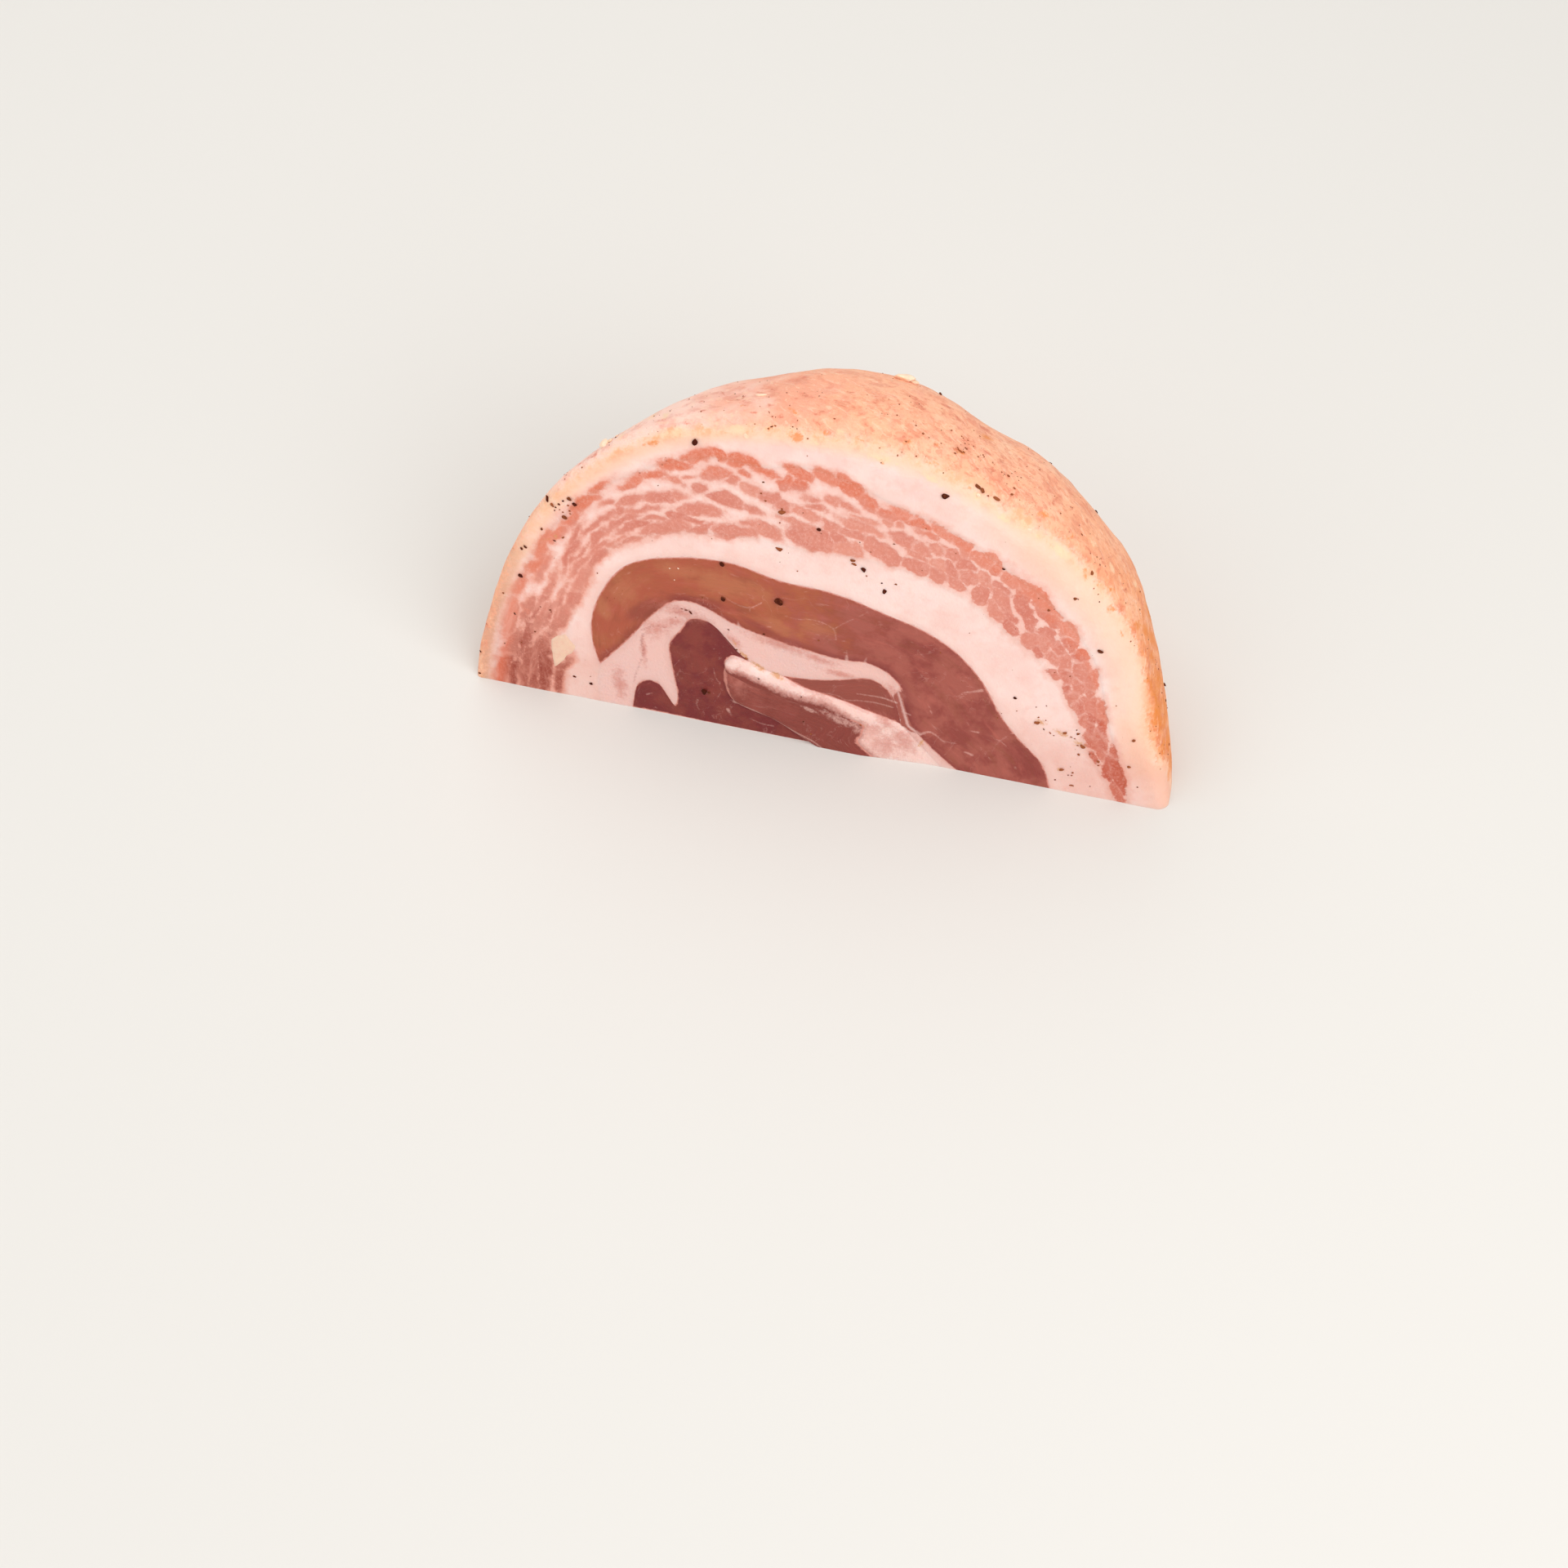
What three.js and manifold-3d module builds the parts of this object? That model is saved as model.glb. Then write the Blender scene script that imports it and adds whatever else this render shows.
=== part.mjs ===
// The half-round end of a rolled pancetta, lying on its lengthwise cut.
// Millimetres. X runs along the bottom of the cut face, Y runs back into the piece, Z is up.
import * as THREE from 'three';
import { mergeVertices } from 'three/addons/utils/BufferGeometryUtils.js';
import Module from 'manifold-3d';

// Driving sizes of the piece
const FACE_LEAN_DEG = 15; // the cut face leans back from the upright
const ROLL_DEPTH = 60; // from the cut face to the back of the rounded end
const SKIN_DEPTH = 8; // fat behind the last of the layers
const POLE_SHIFT = 4.5; // the rounded end is fullest this far right of the middle
const END_POWER = 1.9; // 2 would be a true ellipse from the rim to the back
const RIM_ROUND = 1.6; // the knife's edge is worn round by this
const FLAP_PROUD = 1.2; // the loose flap in the core stands out of the face by this
const LAYER_GAP = 0.3; // clear space between neighbouring layers
const UNDERCUT = 4; // layers are drawn this far below the base, and then cut off flat

// Distances from the middle of the face's bottom edge by angle, from the right end round to the left
const RIM = [
  [0, 75.2], [12, 72.6], [22, 71.8], [34, 73.8], [46, 75], [58, 75.8], [68, 75.6], [80, 77],
  [93, 77.7], [105, 79.2], [116, 80.8], [126, 80.6], [140, 78.6], [154, 75.8], [165, 74.6], [180, 75.3],
];
const FAT_INNER = [
  [0, 67], [10, 64], [20, 63], [33, 65], [44, 64.8], [58, 63.7], [70, 64.4], [80, 65],
  [94, 68.9], [103, 69], [111, 72], [126, 73], [140, 72.6], [154, 71.2], [166, 70.8], [180, 71],
];
const MARBLED_INNER = [
  [0, 64], [6, 60.6], [13, 57.4], [25, 56.4], [38, 54.6], [50, 52.4], [68, 51.6], [82, 50.2],
  [96, 49.6], [108, 52.4], [118, 55.6], [130, 59.6], [140, 61.4], [150, 59.6], [162, 57], [180, 54.8],
];
const MIDDLE_FAT_INNER = [
  [0, 50.4], [8, 48], [15, 44.2], [24, 41.6], [38, 41.4], [54, 40.8], [72, 39.2], [88, 40.2],
  [104, 42], [116, 47.8], [126, 52], [138, 56.4], [148, 55.8], [158, 53.4], [168.2, 48.4],
];
// How far the skin swells out or falls in halfway to the back, by angle
const SKIN_SWELL = [
  [0, 0.7], [22, 2.2], [45, 0.4], [68, -0.7], [90, 1.5], [112, -2.2], [135, -4.6], [158, -0.8], [180, 0],
];

// Borders between the innermost layers, as points across and up the face
const HOOK_TIP = [-47.4, 10.2];
const HOOK_SIDE = [[-47.2, -UNDERCUT], [-47.2, 0], [-47.9, 5.4], HOOK_TIP];
const FOLD = [
  HOOK_TIP, [-41.8, 17.6], [-36.1, 26.2], [-31.2, 30.8], [-25.6, 30.6], [-19.2, 27.5], [-9, 25],
  [3.6, 23.7], [9, 24], [13.6, 22.4], [16.6, 19.2], [18.4, 13.4], [20.4, 9], [24.4, 4.8], [30.4, 0],
  [31, -UNDERCUT],
];
const LENS_RIGHT = [17.6, 9.5];
const LENS_LEFT = [-8, 16.4];
const FLAP_SHOULDER = [-15.4, 18.5];
const FLAP_NOTCH = [-20.3, 15.6];
const THREAD = [[27.2, -UNDERCUT], [27, 0], [22.2, 4.8], LENS_RIGHT];
const LENS_TOP = [
  LENS_RIGHT, [16.4, 13.8], [14.6, 17.6], [11.8, 19.7], [9, 20.1], [5.6, 19], [-0.4, 17.4], LENS_LEFT,
];
const LENS_BOTTOM = [LENS_RIGHT, [11.3, 11.2], [4.6, 13.1], [-3.4, 14.5], LENS_LEFT];
const ARM = [LENS_LEFT, [-12, 17.2], FLAP_SHOULDER];
const TONGUE = [
  FLAP_SHOULDER, [-19.2, 21.4], [-22.2, 25.2], [-25, 27.1], [-28.4, 26.8], [-30.4, 23.4], [-32.6, 19],
  [-31.6, 12], [-30.4, 6], [-30.9, 2.9], [-32.4, 4.8], [-34.4, 7.7], [-37, 8.3], [-39.3, 6.2], [-40.2, 0],
  [-40, -UNDERCUT],
];
const FLAP_NOSE = [FLAP_SHOULDER, [-18.6, 19.2], [-20.4, 17.6], FLAP_NOTCH];
const FLAP_UNDER = [FLAP_NOTCH, [-20.2, 12], [-17.8, 7.6], [-9.6, 4.8], [-3.2, 1.5], [1, -UNDERCUT]];
const FLAP_SEAM = [
  FLAP_NOTCH, [-15.4, 13.6], [-12, 12.7], [-6.6, 11.4], [0.6, 10.4], [9.4, 8.8], [10, 6.2], [9.4, 3.4],
  [12.8, 0], [14, -UNDERCUT],
];

// Pepper grains and flakes of fat
const GRAIN_RADIUS = [0.5, 1.0]; // smallest and largest
const GRAIN_DEPTH = [0.6, 1]; // least and most, as shares of the radius
const GRAIN_WIDTH = [0.7, 1];
const GRAIN_LIFT = 0.1; // share of the radius by which a grain's middle stands off the surface
const SKIN_GRAINS = 46;
const RIM_GRAINS = 12;
const MIDDLE_FAT_GRAINS = 9;
const MARBLED_GRAINS = 8;
const FLAKE_HALF_SIZE = [1.7, 1.1, 0.5];
const SKIN_FLAKES = 5;
const GRAIN_ANGLES = [12, 168]; // grains keep clear of the base at both ends of a band
const BAND_MIDDLE = [0.4, 0.6]; // and keep to this stretch across it
const SKIN_ANGLES = [14, 166];
const SKIN_BACKS = [0.08, 0.88]; // nearest the rim and nearest the back, as shares of the depth
const SKIN_GATHER = 1.4; // over 1 strews more of them near the rim
const SMALL_GATHER = 2; // over 1 makes more of the grains small
const DRAW_FACTOR = 16807; // with the range below, the usual pair for repeatable draws
const DRAW_RANGE = 2147483647;

// How finely the outlines and the rounded end are divided
const BORDER_STEP = 2.4;
const RING_STEPS = 30;
const END_SEGMENTS = 72;
const SKIN_RINGS = 11;
const ROOM_RINGS = 7;

// Colours, roughness and metalness
const FAT_OUTER = { color: 0xf3c9a8, roughness: 0.45, metalness: 0 };
const FAT_WHITE = { color: 0xf4d6cd, roughness: 0.4, metalness: 0 };
const FAT_PINK = { color: 0xecc3b8, roughness: 0.4, metalness: 0 };
const LEAN_MARBLED = { color: 0xd58c7c, roughness: 0.4, metalness: 0 };
const LEAN_TAN = { color: 0xad6450, roughness: 0.45, metalness: 0 };
const LEAN_DARK = { color: 0x863e3c, roughness: 0.4, metalness: 0 };
const LEAN_ROSE = { color: 0xa85c54, roughness: 0.4, metalness: 0 };

const wasm = await Module();
wasm.setup();

// Right-handed frame of the cut: x across the face, y up the leaning face, z straight out to the front
const lean = THREE.MathUtils.degToRad(FACE_LEAN_DEG);
const cutFrame = new THREE.Matrix4().makeBasis(
  new THREE.Vector3(1, 0, 0),
  new THREE.Vector3(0, Math.sin(lean), Math.cos(lean)),
  new THREE.Vector3(0, -1, 0),
);

// Repeatable draws between 0 and 1 from a seed
function drawsFrom(seed) {
  let state = seed;
  return () => {
    state = (state * DRAW_FACTOR) % DRAW_RANGE;
    return state / DRAW_RANGE;
  };
}

// The value at a share of the way from the first of a pair to the second
function between(pair, share) {
  return THREE.MathUtils.lerp(pair[0], pair[1], share);
}

// Distance from the middle of the bottom edge at an angle in radians; it is the same below the base
function reach(table) {
  const angles = table.map((row) => row[0]);
  const radii = table.map((row) => row[1]);
  const curve = new THREE.CubicInterpolant(angles, radii, 1);
  return (angle) => curve.evaluate(Math.abs(THREE.MathUtils.radToDeg(angle)))[0];
}

// The rounded end as a solid: a lathe turned about the roll's axis, then bent to its rim and swell
function roundedEnd(rimReach, depth, grow, worn, rings) {
  const profile = [new THREE.Vector2(0, 0), new THREE.Vector2(1, 0), endShare(worn / depth)];
  for (let ring = 1; ring <= rings; ring += 1) {
    profile.push(endShare(Math.sin((ring / rings) * Math.PI * 0.5)));
  }
  const geometry = new THREE.LatheGeometry(profile, END_SEGMENTS);
  const points = geometry.attributes.position;
  for (let i = 0; i < points.count; i += 1) {
    const angle = Math.atan2(points.getZ(i), points.getX(i));
    const share = Math.hypot(points.getX(i), points.getZ(i));
    const place = endPoint(rimReach, depth, grow, worn, angle, share, points.getY(i));
    points.setXYZ(i, place.x, place.y, place.z);
  }
  return solidFrom(geometry);
}

// Share of the rim's reach that is left at a share of the way to the back
function endShare(back) {
  return new THREE.Vector2(Math.max(0, 1 - back ** END_POWER) ** (1 / END_POWER), back);
}

// A point of the rounded end in the frame of the cut; share is 1 at the rim and back is 1 at the pole
function endPoint(rimReach, depth, grow, worn, angle, share, back) {
  const swell = swellAt(angle) * 4 * back * (1 - back) * Math.min(1, share * 2);
  const trim = back < worn / depth ? worn : 0;
  const radius = (rimReach(angle) + grow - trim) * share + swell;
  return new THREE.Vector3(
    radius * Math.cos(angle) + POLE_SHIFT * back,
    radius * Math.sin(angle),
    -(depth + grow) * back,
  );
}

// A closed three.js geometry as a solid that can be joined and cut
function solidFrom(geometry) {
  geometry.deleteAttribute('normal');
  geometry.deleteAttribute('uv');
  const merged = mergeVertices(geometry, 1e-4);
  return new wasm.Manifold(new wasm.Mesh({
    numProp: 3,
    vertProperties: new Float32Array(merged.attributes.position.array),
    triVerts: new Uint32Array(merged.index.array),
  }));
}

// Points along a border, evenly spaced
function along(points) {
  const curve = new THREE.SplineCurve(points.map((p) => new THREE.Vector2(p[0], p[1])));
  return curve.getSpacedPoints(Math.max(1, Math.round(curve.getLength() / BORDER_STEP)));
}

// A ring border from its foot at the right, below the base, up and round to an angle in degrees
function ring(borderReach, to) {
  const points = [new THREE.Vector2(borderReach(0), -UNDERCUT)];
  for (let i = 0; i <= RING_STEPS; i += 1) {
    const angle = THREE.MathUtils.degToRad((to * i) / RING_STEPS);
    points.push(new THREE.Vector2(Math.cos(angle), Math.sin(angle)).multiplyScalar(borderReach(angle)));
  }
  return points;
}

// A ring border all the way round to its other foot at the left
function fullRing(borderReach) {
  return [...ring(borderReach, 180), new THREE.Vector2(-borderReach(Math.PI), -UNDERCUT)];
}

// A closed outline from stretches that follow one another, without the doubled points
function outline(...stretches) {
  const points = stretches.flat();
  return points.filter((p, i) => p.distanceTo(points[(i + 1) % points.length]) > LAYER_GAP);
}

// The outline moved in by half of the gap all round
function shrunk(points) {
  const clockwise = THREE.ShapeUtils.isClockWise(points);
  return points.map((p, i) => {
    const before = points[(i + points.length - 1) % points.length];
    const after = points[(i + 1) % points.length];
    const into = p.clone().sub(before).normalize();
    const out = after.clone().sub(p).normalize();
    const inward = new THREE.Vector2(-into.y - out.y, into.x + out.x).normalize();
    const half = Math.max(0.5, inward.dot(new THREE.Vector2(-into.y, into.x)));
    const move = ((clockwise ? -1 : 1) * LAYER_GAP) / 2 / half;
    return p.clone().addScaledVector(inward, move);
  });
}

// A layer that runs straight back into the roll from the face, and ends under the skin
function layer(points, proud = 0) {
  const shape = new THREE.Shape(shrunk(points));
  const geometry = new THREE.ExtrudeGeometry(shape, { depth: ROLL_DEPTH + proud, bevelEnabled: false });
  geometry.translate(0, 0, -ROLL_DEPTH);
  return solidFrom(geometry).intersect(layerRoom);
}

// A box from corner to corner
function block(low, high) {
  const size = high.clone().sub(low);
  const geometry = new THREE.BoxGeometry(size.x, size.y, size.z);
  geometry.translate(...low.clone().add(high).multiplyScalar(0.5));
  return solidFrom(geometry);
}

// A pepper grain: a small uneven lump, turned at random
function grain(place, radius, draw) {
  const geometry = new THREE.IcosahedronGeometry(radius, 0);
  geometry.scale(1, between(GRAIN_DEPTH, draw()), between(GRAIN_WIDTH, draw()));
  geometry.rotateX(Math.PI * draw());
  geometry.rotateZ(Math.PI * draw());
  geometry.translate(place.x, place.y, place.z);
  return solidFrom(geometry);
}

// A flake of fat that lies on the skin
function flake(place, normal, draw) {
  const geometry = new THREE.IcosahedronGeometry(1, 0);
  geometry.scale(...FLAKE_HALF_SIZE);
  geometry.rotateZ(Math.PI * draw());
  geometry.applyQuaternion(new THREE.Quaternion().setFromUnitVectors(new THREE.Vector3(0, 0, 1), normal));
  geometry.translate(place.x, place.y, place.z);
  return solidFrom(geometry);
}

// Grains on a band of the face, kept to the middle of the band so that they stay on it
function bandGrains(solid, outer, inner, count, seed) {
  const draw = drawsFrom(seed);
  let joined = solid;
  for (let i = 0; i < count; i += 1) {
    const angle = THREE.MathUtils.degToRad(between(GRAIN_ANGLES, (i + draw()) / count));
    const radius = between(GRAIN_RADIUS, draw() ** SMALL_GATHER);
    const across = between([inner(angle), outer(angle)], between(BAND_MIDDLE, draw()));
    const place = new THREE.Vector3(across * Math.cos(angle), across * Math.sin(angle), radius * GRAIN_LIFT);
    joined = joined.add(grain(place, radius, draw));
  }
  return joined;
}

// Where a thing lies on the skin, and which way the skin faces there
function skinSpot(angle, back) {
  const at = (a, b) => endPoint(rimAt, ROLL_DEPTH, 0, 0, a, endShare(b).x, b);
  const step = 0.02;
  const place = at(angle, back);
  const round = at(angle + step, back).sub(place);
  const rear = at(angle, back + step).sub(place);
  return { place, normal: rear.cross(round).normalize() };
}

// Grains and flakes strewn over the skin
function skinToppings(solid) {
  const draw = drawsFrom(71);
  let joined = solid;
  for (let i = 0; i < SKIN_GRAINS + SKIN_FLAKES; i += 1) {
    const angle = THREE.MathUtils.degToRad(between(SKIN_ANGLES, draw()));
    const spot = skinSpot(angle, between(SKIN_BACKS, draw() ** SKIN_GATHER));
    const radius = between(GRAIN_RADIUS, draw() ** SMALL_GATHER);
    if (i < SKIN_GRAINS) {
      spot.place.addScaledVector(spot.normal, radius * GRAIN_LIFT);
      joined = joined.add(grain(spot.place, radius, draw));
    } else {
      joined = joined.add(flake(spot.place, spot.normal, draw));
    }
  }
  return joined;
}

// A solid as a named mesh in the frame of the piece
function part(name, solid, look) {
  const mesh = solid.getMesh();
  const geometry = new THREE.BufferGeometry();
  geometry.setAttribute('position', new THREE.BufferAttribute(new Float32Array(mesh.vertProperties), 3));
  geometry.setIndex(new THREE.BufferAttribute(new Uint32Array(mesh.triVerts), 1));
  geometry.applyMatrix4(cutFrame);
  const node = new THREE.Mesh(geometry, new THREE.MeshStandardMaterial(look));
  node.name = name;
  return node;
}

const rimAt = reach(RIM);
const fatInnerAt = reach(FAT_INNER);
const marbledInnerAt = reach(MARBLED_INNER);
const middleInnerAt = reach(MIDDLE_FAT_INNER);
const swellAt = reach(SKIN_SWELL);

// The room that the layers fill under the skin, cut off flat at the base, and open to the front
const far = 2 * ROLL_DEPTH + RIM[0][1];
const aboveBase = block(new THREE.Vector3(-far, 0, -far), new THREE.Vector3(far, far, far));
const layerDepth = ROLL_DEPTH - SKIN_DEPTH;
const underSkin = roundedEnd(fatInnerAt, layerDepth, -LAYER_GAP / 2, 0, ROOM_RINGS);
const hollow = roundedEnd(fatInnerAt, layerDepth, LAYER_GAP / 2, 0, ROOM_RINGS);
const flapReach = LENS_RIGHT[0] + LENS_RIGHT[1];
const front = block(
  new THREE.Vector3(-flapReach, -UNDERCUT, -FLAP_PROUD),
  new THREE.Vector3(flapReach, flapReach, FLAP_PROUD),
);
const layerRoom = underSkin.add(front).intersect(aboveBase);

// Borders that two neighbours share
const borders = {
  leanRim: ring(middleInnerAt, MIDDLE_FAT_INNER.at(-1)[0]).slice(0, -1),
  hookSide: along(HOOK_SIDE),
  fold: along(FOLD),
  thread: along(THREAD),
  lensTop: along(LENS_TOP),
  lensBottom: along(LENS_BOTTOM),
  arm: along(ARM),
  tongue: along(TONGUE),
  flapNose: along(FLAP_NOSE),
  flapUnder: along(FLAP_UNDER),
  flapSeam: along(FLAP_SEAM),
};

function outerFat() {
  const skin = roundedEnd(rimAt, ROLL_DEPTH, 0, RIM_ROUND, SKIN_RINGS).intersect(aboveBase);
  return skinToppings(bandGrains(skin.subtract(hollow), rimAt, fatInnerAt, RIM_GRAINS, 5));
}

function marbledLean() {
  const beyond = fullRing(rimAt);
  const band = layer(outline(beyond, fullRing(marbledInnerAt).reverse()));
  return bandGrains(band, fatInnerAt, marbledInnerAt, MARBLED_GRAINS, 11);
}

function middleFat() {
  const inner = [...borders.hookSide, ...borders.leanRim.toReversed()];
  const band = layer(outline(fullRing(marbledInnerAt), inner));
  return bandGrains(band, marbledInnerAt, middleInnerAt, MIDDLE_FAT_GRAINS, 23);
}

const innerLean = layer(outline(borders.leanRim, borders.fold));
const innerFat = layer(outline(
  borders.hookSide, borders.fold, borders.thread, borders.lensTop, borders.arm, borders.tongue,
));
const coreLean = layer(outline(borders.tongue.toReversed(), borders.flapNose, borders.flapUnder));
const lensLean = layer(outline(borders.lensTop, borders.lensBottom.toReversed()));
const flapFat = layer(outline(
  borders.thread, borders.lensBottom, borders.arm, borders.flapNose, borders.flapSeam,
), FLAP_PROUD);
const flapLean = layer(outline(borders.flapSeam.toReversed(), borders.flapUnder), FLAP_PROUD);

const piece = new THREE.Group();
piece.add(
  part('outer_fat', outerFat(), FAT_OUTER),
  part('marbled_lean', marbledLean(), LEAN_MARBLED),
  part('middle_fat', middleFat(), FAT_WHITE),
  part('inner_lean', innerLean, LEAN_TAN),
  part('inner_fat', innerFat, FAT_PINK),
  part('core_lean', coreLean, LEAN_DARK),
  part('lens_lean', lensLean, LEAN_ROSE),
  part('flap_fat', flapFat, FAT_PINK),
  part('flap_lean', flapLean, LEAN_ROSE),
);

// The origin is the middle of the base
const box = new THREE.Box3().setFromObject(piece);
const middle = box.getCenter(new THREE.Vector3());
piece.children.forEach((node) => node.position.set(-middle.x, -middle.y, -box.min.z));

export default piece;
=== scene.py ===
"""Half-round end of a rolled pancetta: fine surfaces and finishes over its solid layers.

Lengths in the tables are millimetres in the frame of the cut: across the face, up the leaning face, and
out to the front. Blender's own lengths are metres.
"""

import math

import bmesh
import bpy
import numpy as np
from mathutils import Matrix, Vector


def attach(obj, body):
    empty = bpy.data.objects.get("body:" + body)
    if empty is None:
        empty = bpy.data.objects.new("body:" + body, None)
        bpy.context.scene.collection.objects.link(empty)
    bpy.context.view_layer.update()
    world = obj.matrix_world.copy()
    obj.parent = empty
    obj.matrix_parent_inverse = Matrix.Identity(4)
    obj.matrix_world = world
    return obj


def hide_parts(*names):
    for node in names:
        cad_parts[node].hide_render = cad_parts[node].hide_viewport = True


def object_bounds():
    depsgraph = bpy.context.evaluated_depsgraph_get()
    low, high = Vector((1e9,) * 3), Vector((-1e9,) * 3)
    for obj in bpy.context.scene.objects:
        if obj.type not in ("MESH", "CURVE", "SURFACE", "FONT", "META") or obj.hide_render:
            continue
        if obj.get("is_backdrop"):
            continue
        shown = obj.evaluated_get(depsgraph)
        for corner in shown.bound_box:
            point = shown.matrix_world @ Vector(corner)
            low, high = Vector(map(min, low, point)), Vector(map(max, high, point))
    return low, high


bl_info = {
    "name": "Rolled Pancetta End",
    "version": (1, 0, 0),
    "blender": (4, 5, 0),
    "location": "3D View > Sidebar > Pancetta",
    "description": "Builds the half-round end of a rolled pancetta, layer by layer",
    "category": "Add Mesh",
}

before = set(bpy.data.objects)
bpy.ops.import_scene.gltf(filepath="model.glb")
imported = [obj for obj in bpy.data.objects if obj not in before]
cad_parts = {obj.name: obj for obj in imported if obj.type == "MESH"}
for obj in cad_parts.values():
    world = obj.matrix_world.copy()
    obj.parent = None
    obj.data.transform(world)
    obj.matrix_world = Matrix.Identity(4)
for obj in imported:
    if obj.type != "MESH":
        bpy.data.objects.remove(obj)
CAD_LOW, CAD_HIGH = (tuple(corner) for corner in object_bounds())

# How far the cut face leans back, how deep the end is and how thick its skin and fat are there, how far the
# pole lies to the right, the superellipse's power, and how far the flap stands out in the solids
MM = 0.001
FACE_LEAN = math.radians(15)
ROLL_DEPTH = 60
SKIN_DEPTH = 8
POLE_SHIFT = 4.5
END_POWER = 1.9
FLAP_PROUD = 1.2
FRONT = CAD_LOW[1] + FLAP_PROUD * MM  # where the foot of the cut face stands

# The flap's height over the face, how wide its round edge is, where it ends, and over what run it sinks
FLAP_HEIGHT = FLAP_PROUD - 0.25
FLAP_EDGE = 1.6
FLAP_END = 24
FLAP_RUN = 14

# Steps along and across each layer's grid
LAYER_STEPS = {
    "marbled_band": (520, 44), "white_band": (360, 26), "tan_band": (420, 56), "fat_hook": (360, 30),
    "dark_core": (220, 50), "lens": (150, 34), "flap_edge": (200, 28), "flap_meat": (200, 44),
}

# Steps of the other grids, and the distance in millimetres under which their points are joined
ROUND_STEPS = 361
BAND_STEPS = 25
RIM_STEPS = 12
BACK_STEPS = 90
WALL_STEPS = 8
BASE_STEPS = 40
FLAKE_STEPS = 40
MERGE_DISTANCE = 0.004

# Rounds of correction that find a depth, places measured at a time, and the reach measured round a thread
CORRECTIONS = 12
BATCH = 4000
THREAD_MARGIN = 2

# Reaches and gaps where nothing is near, and the numbers of the sine hash
FAR = 99.0
NO_LEAN_NEAR = 9
NO_MARK_NEAR = -9
HASH_FACTORS = (12.9898, 78.233, 37.719)
HASH_HEIGHT = 43758.5453
HASH_SHIFT = 37.7

# How long a degree of the marbled band counts, in millimetres
MM_PER_DEGREE = 1.1

# How far red, green and blue light spread in flesh, against one another, and how the fibres of the lean are
# scaled along, across and into the band
SOFT_COLOUR = (1, 0.45, 0.3)
BAND_GRAIN = (0.12, 0.45, 0.4)
CORE_GRAIN = (0.35, 0.6, 0.4)
FLAP_GRAIN = (0.12, 0.9, 0.4)

# The light all round, the lens's frame in millimetres, and places and sizes on the stage in metres
WORLD_COLOUR = (1, 0.99, 0.97, 1)
WORLD_STRENGTH = 0.55
SENSOR_WIDTH = 36
LIGHT_PLACES = {"key": (0.55, -0.4, 0.75), "fill": (-0.6, -0.5, 0.5), "top": (-0.3, 0.4, 0.75)}
LIGHT_AIM = (0, 0, 0.03)
LIGHT_SIZE = 0.9
FLOOR_REACH = 3
CAMERA_PLACE = (0.0583, -0.2766, 0.41587)  # from the middle of the foot of the cut face
CAMERA_TURN = math.radians(13.24)
CAMERA_PITCH = math.radians(56.8)

# Distances from the middle of the face's bottom edge by angle in degrees, right end to left end
RIM = (
    (0, 75.2), (12, 72.6), (22, 71.8), (34, 73.8), (46, 75), (58, 75.8), (68, 75.6), (80, 77), (93, 77.7),
    (105, 79.2), (116, 80.8), (126, 80.6), (140, 78.6), (154, 75.8), (165, 74.6), (180, 75.3),
)
FAT_INNER = (
    (0, 67), (10, 64), (20, 63), (33, 65), (44, 64.8), (58, 63.7), (70, 64.4), (80, 65), (94, 68.9),
    (103, 69), (111, 72), (126, 73), (140, 72.6), (154, 71.2), (166, 70.8), (180, 71),
)
MARBLED_INNER = (
    (0, 64), (6, 60.6), (13, 57.4), (25, 56.4), (38, 54.6), (50, 52.4), (68, 51.6), (82, 50.2), (96, 49.6),
    (108, 52.4), (118, 55.6), (130, 59.6), (140, 61.4), (150, 59.6), (162, 57), (180, 54.8),
)
MIDDLE_FAT_INNER = (
    (0, 50.4), (8, 48), (15, 44.2), (24, 41.6), (38, 41.4), (54, 40.8), (72, 39.2), (88, 40.2), (104, 42),
    (116, 47.8), (126, 52), (138, 56.4), (148, 55.8), (158, 53.4), (168.2, 48.4),
)
SKIN_SWELL = (
    (0, 0.7), (22, 2.2), (45, 0.4), (68, -0.7), (90, 1.5), (112, -2.2), (135, -4.6), (158, -0.8), (180, 0),
)
# How far the knife's edge is worn round, by angle
RIM_ROUND = ((0, 2.4), (14, 4.4), (30, 5.5), (60, 6), (90, 5), (115, 3.5), (140, 2), (160, 1.4), (180, 1.2))

# Borders between the innermost layers, across and up the face
HOOK_TIP = (-47.4, 10.2)
HOOK_SIDE = ((-47.2, 0), (-47.9, 5.4), HOOK_TIP)
FOLD = (
    HOOK_TIP, (-41.8, 17.6), (-36.1, 26.2), (-31.2, 30.8), (-25.6, 30.6), (-19.2, 27.5), (-9, 25),
    (3.6, 23.7), (9, 24), (13.6, 22.4), (16.6, 19.2), (18.4, 13.4), (20.4, 9), (24.4, 4.8), (30.4, 0),
)
LENS_RIGHT = (17.6, 9.5)
LENS_LEFT = (-8, 16.4)
FLAP_SHOULDER = (-15.4, 18.5)
FLAP_NOTCH = (-20.3, 15.6)
THREAD = ((27, 0), (22.2, 4.8), LENS_RIGHT)
LENS_TOP = (
    LENS_RIGHT, (16.4, 13.8), (14.6, 17.6), (11.8, 19.7), (9, 20.1), (5.6, 19), (-0.4, 17.4), LENS_LEFT,
)
LENS_BOTTOM = (LENS_RIGHT, (11.3, 11.2), (4.6, 13.1), (-3.4, 14.5), LENS_LEFT)
ARM = (LENS_LEFT, (-12, 17.2), FLAP_SHOULDER)
TONGUE_TIP = (-30.9, 2.9)
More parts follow.
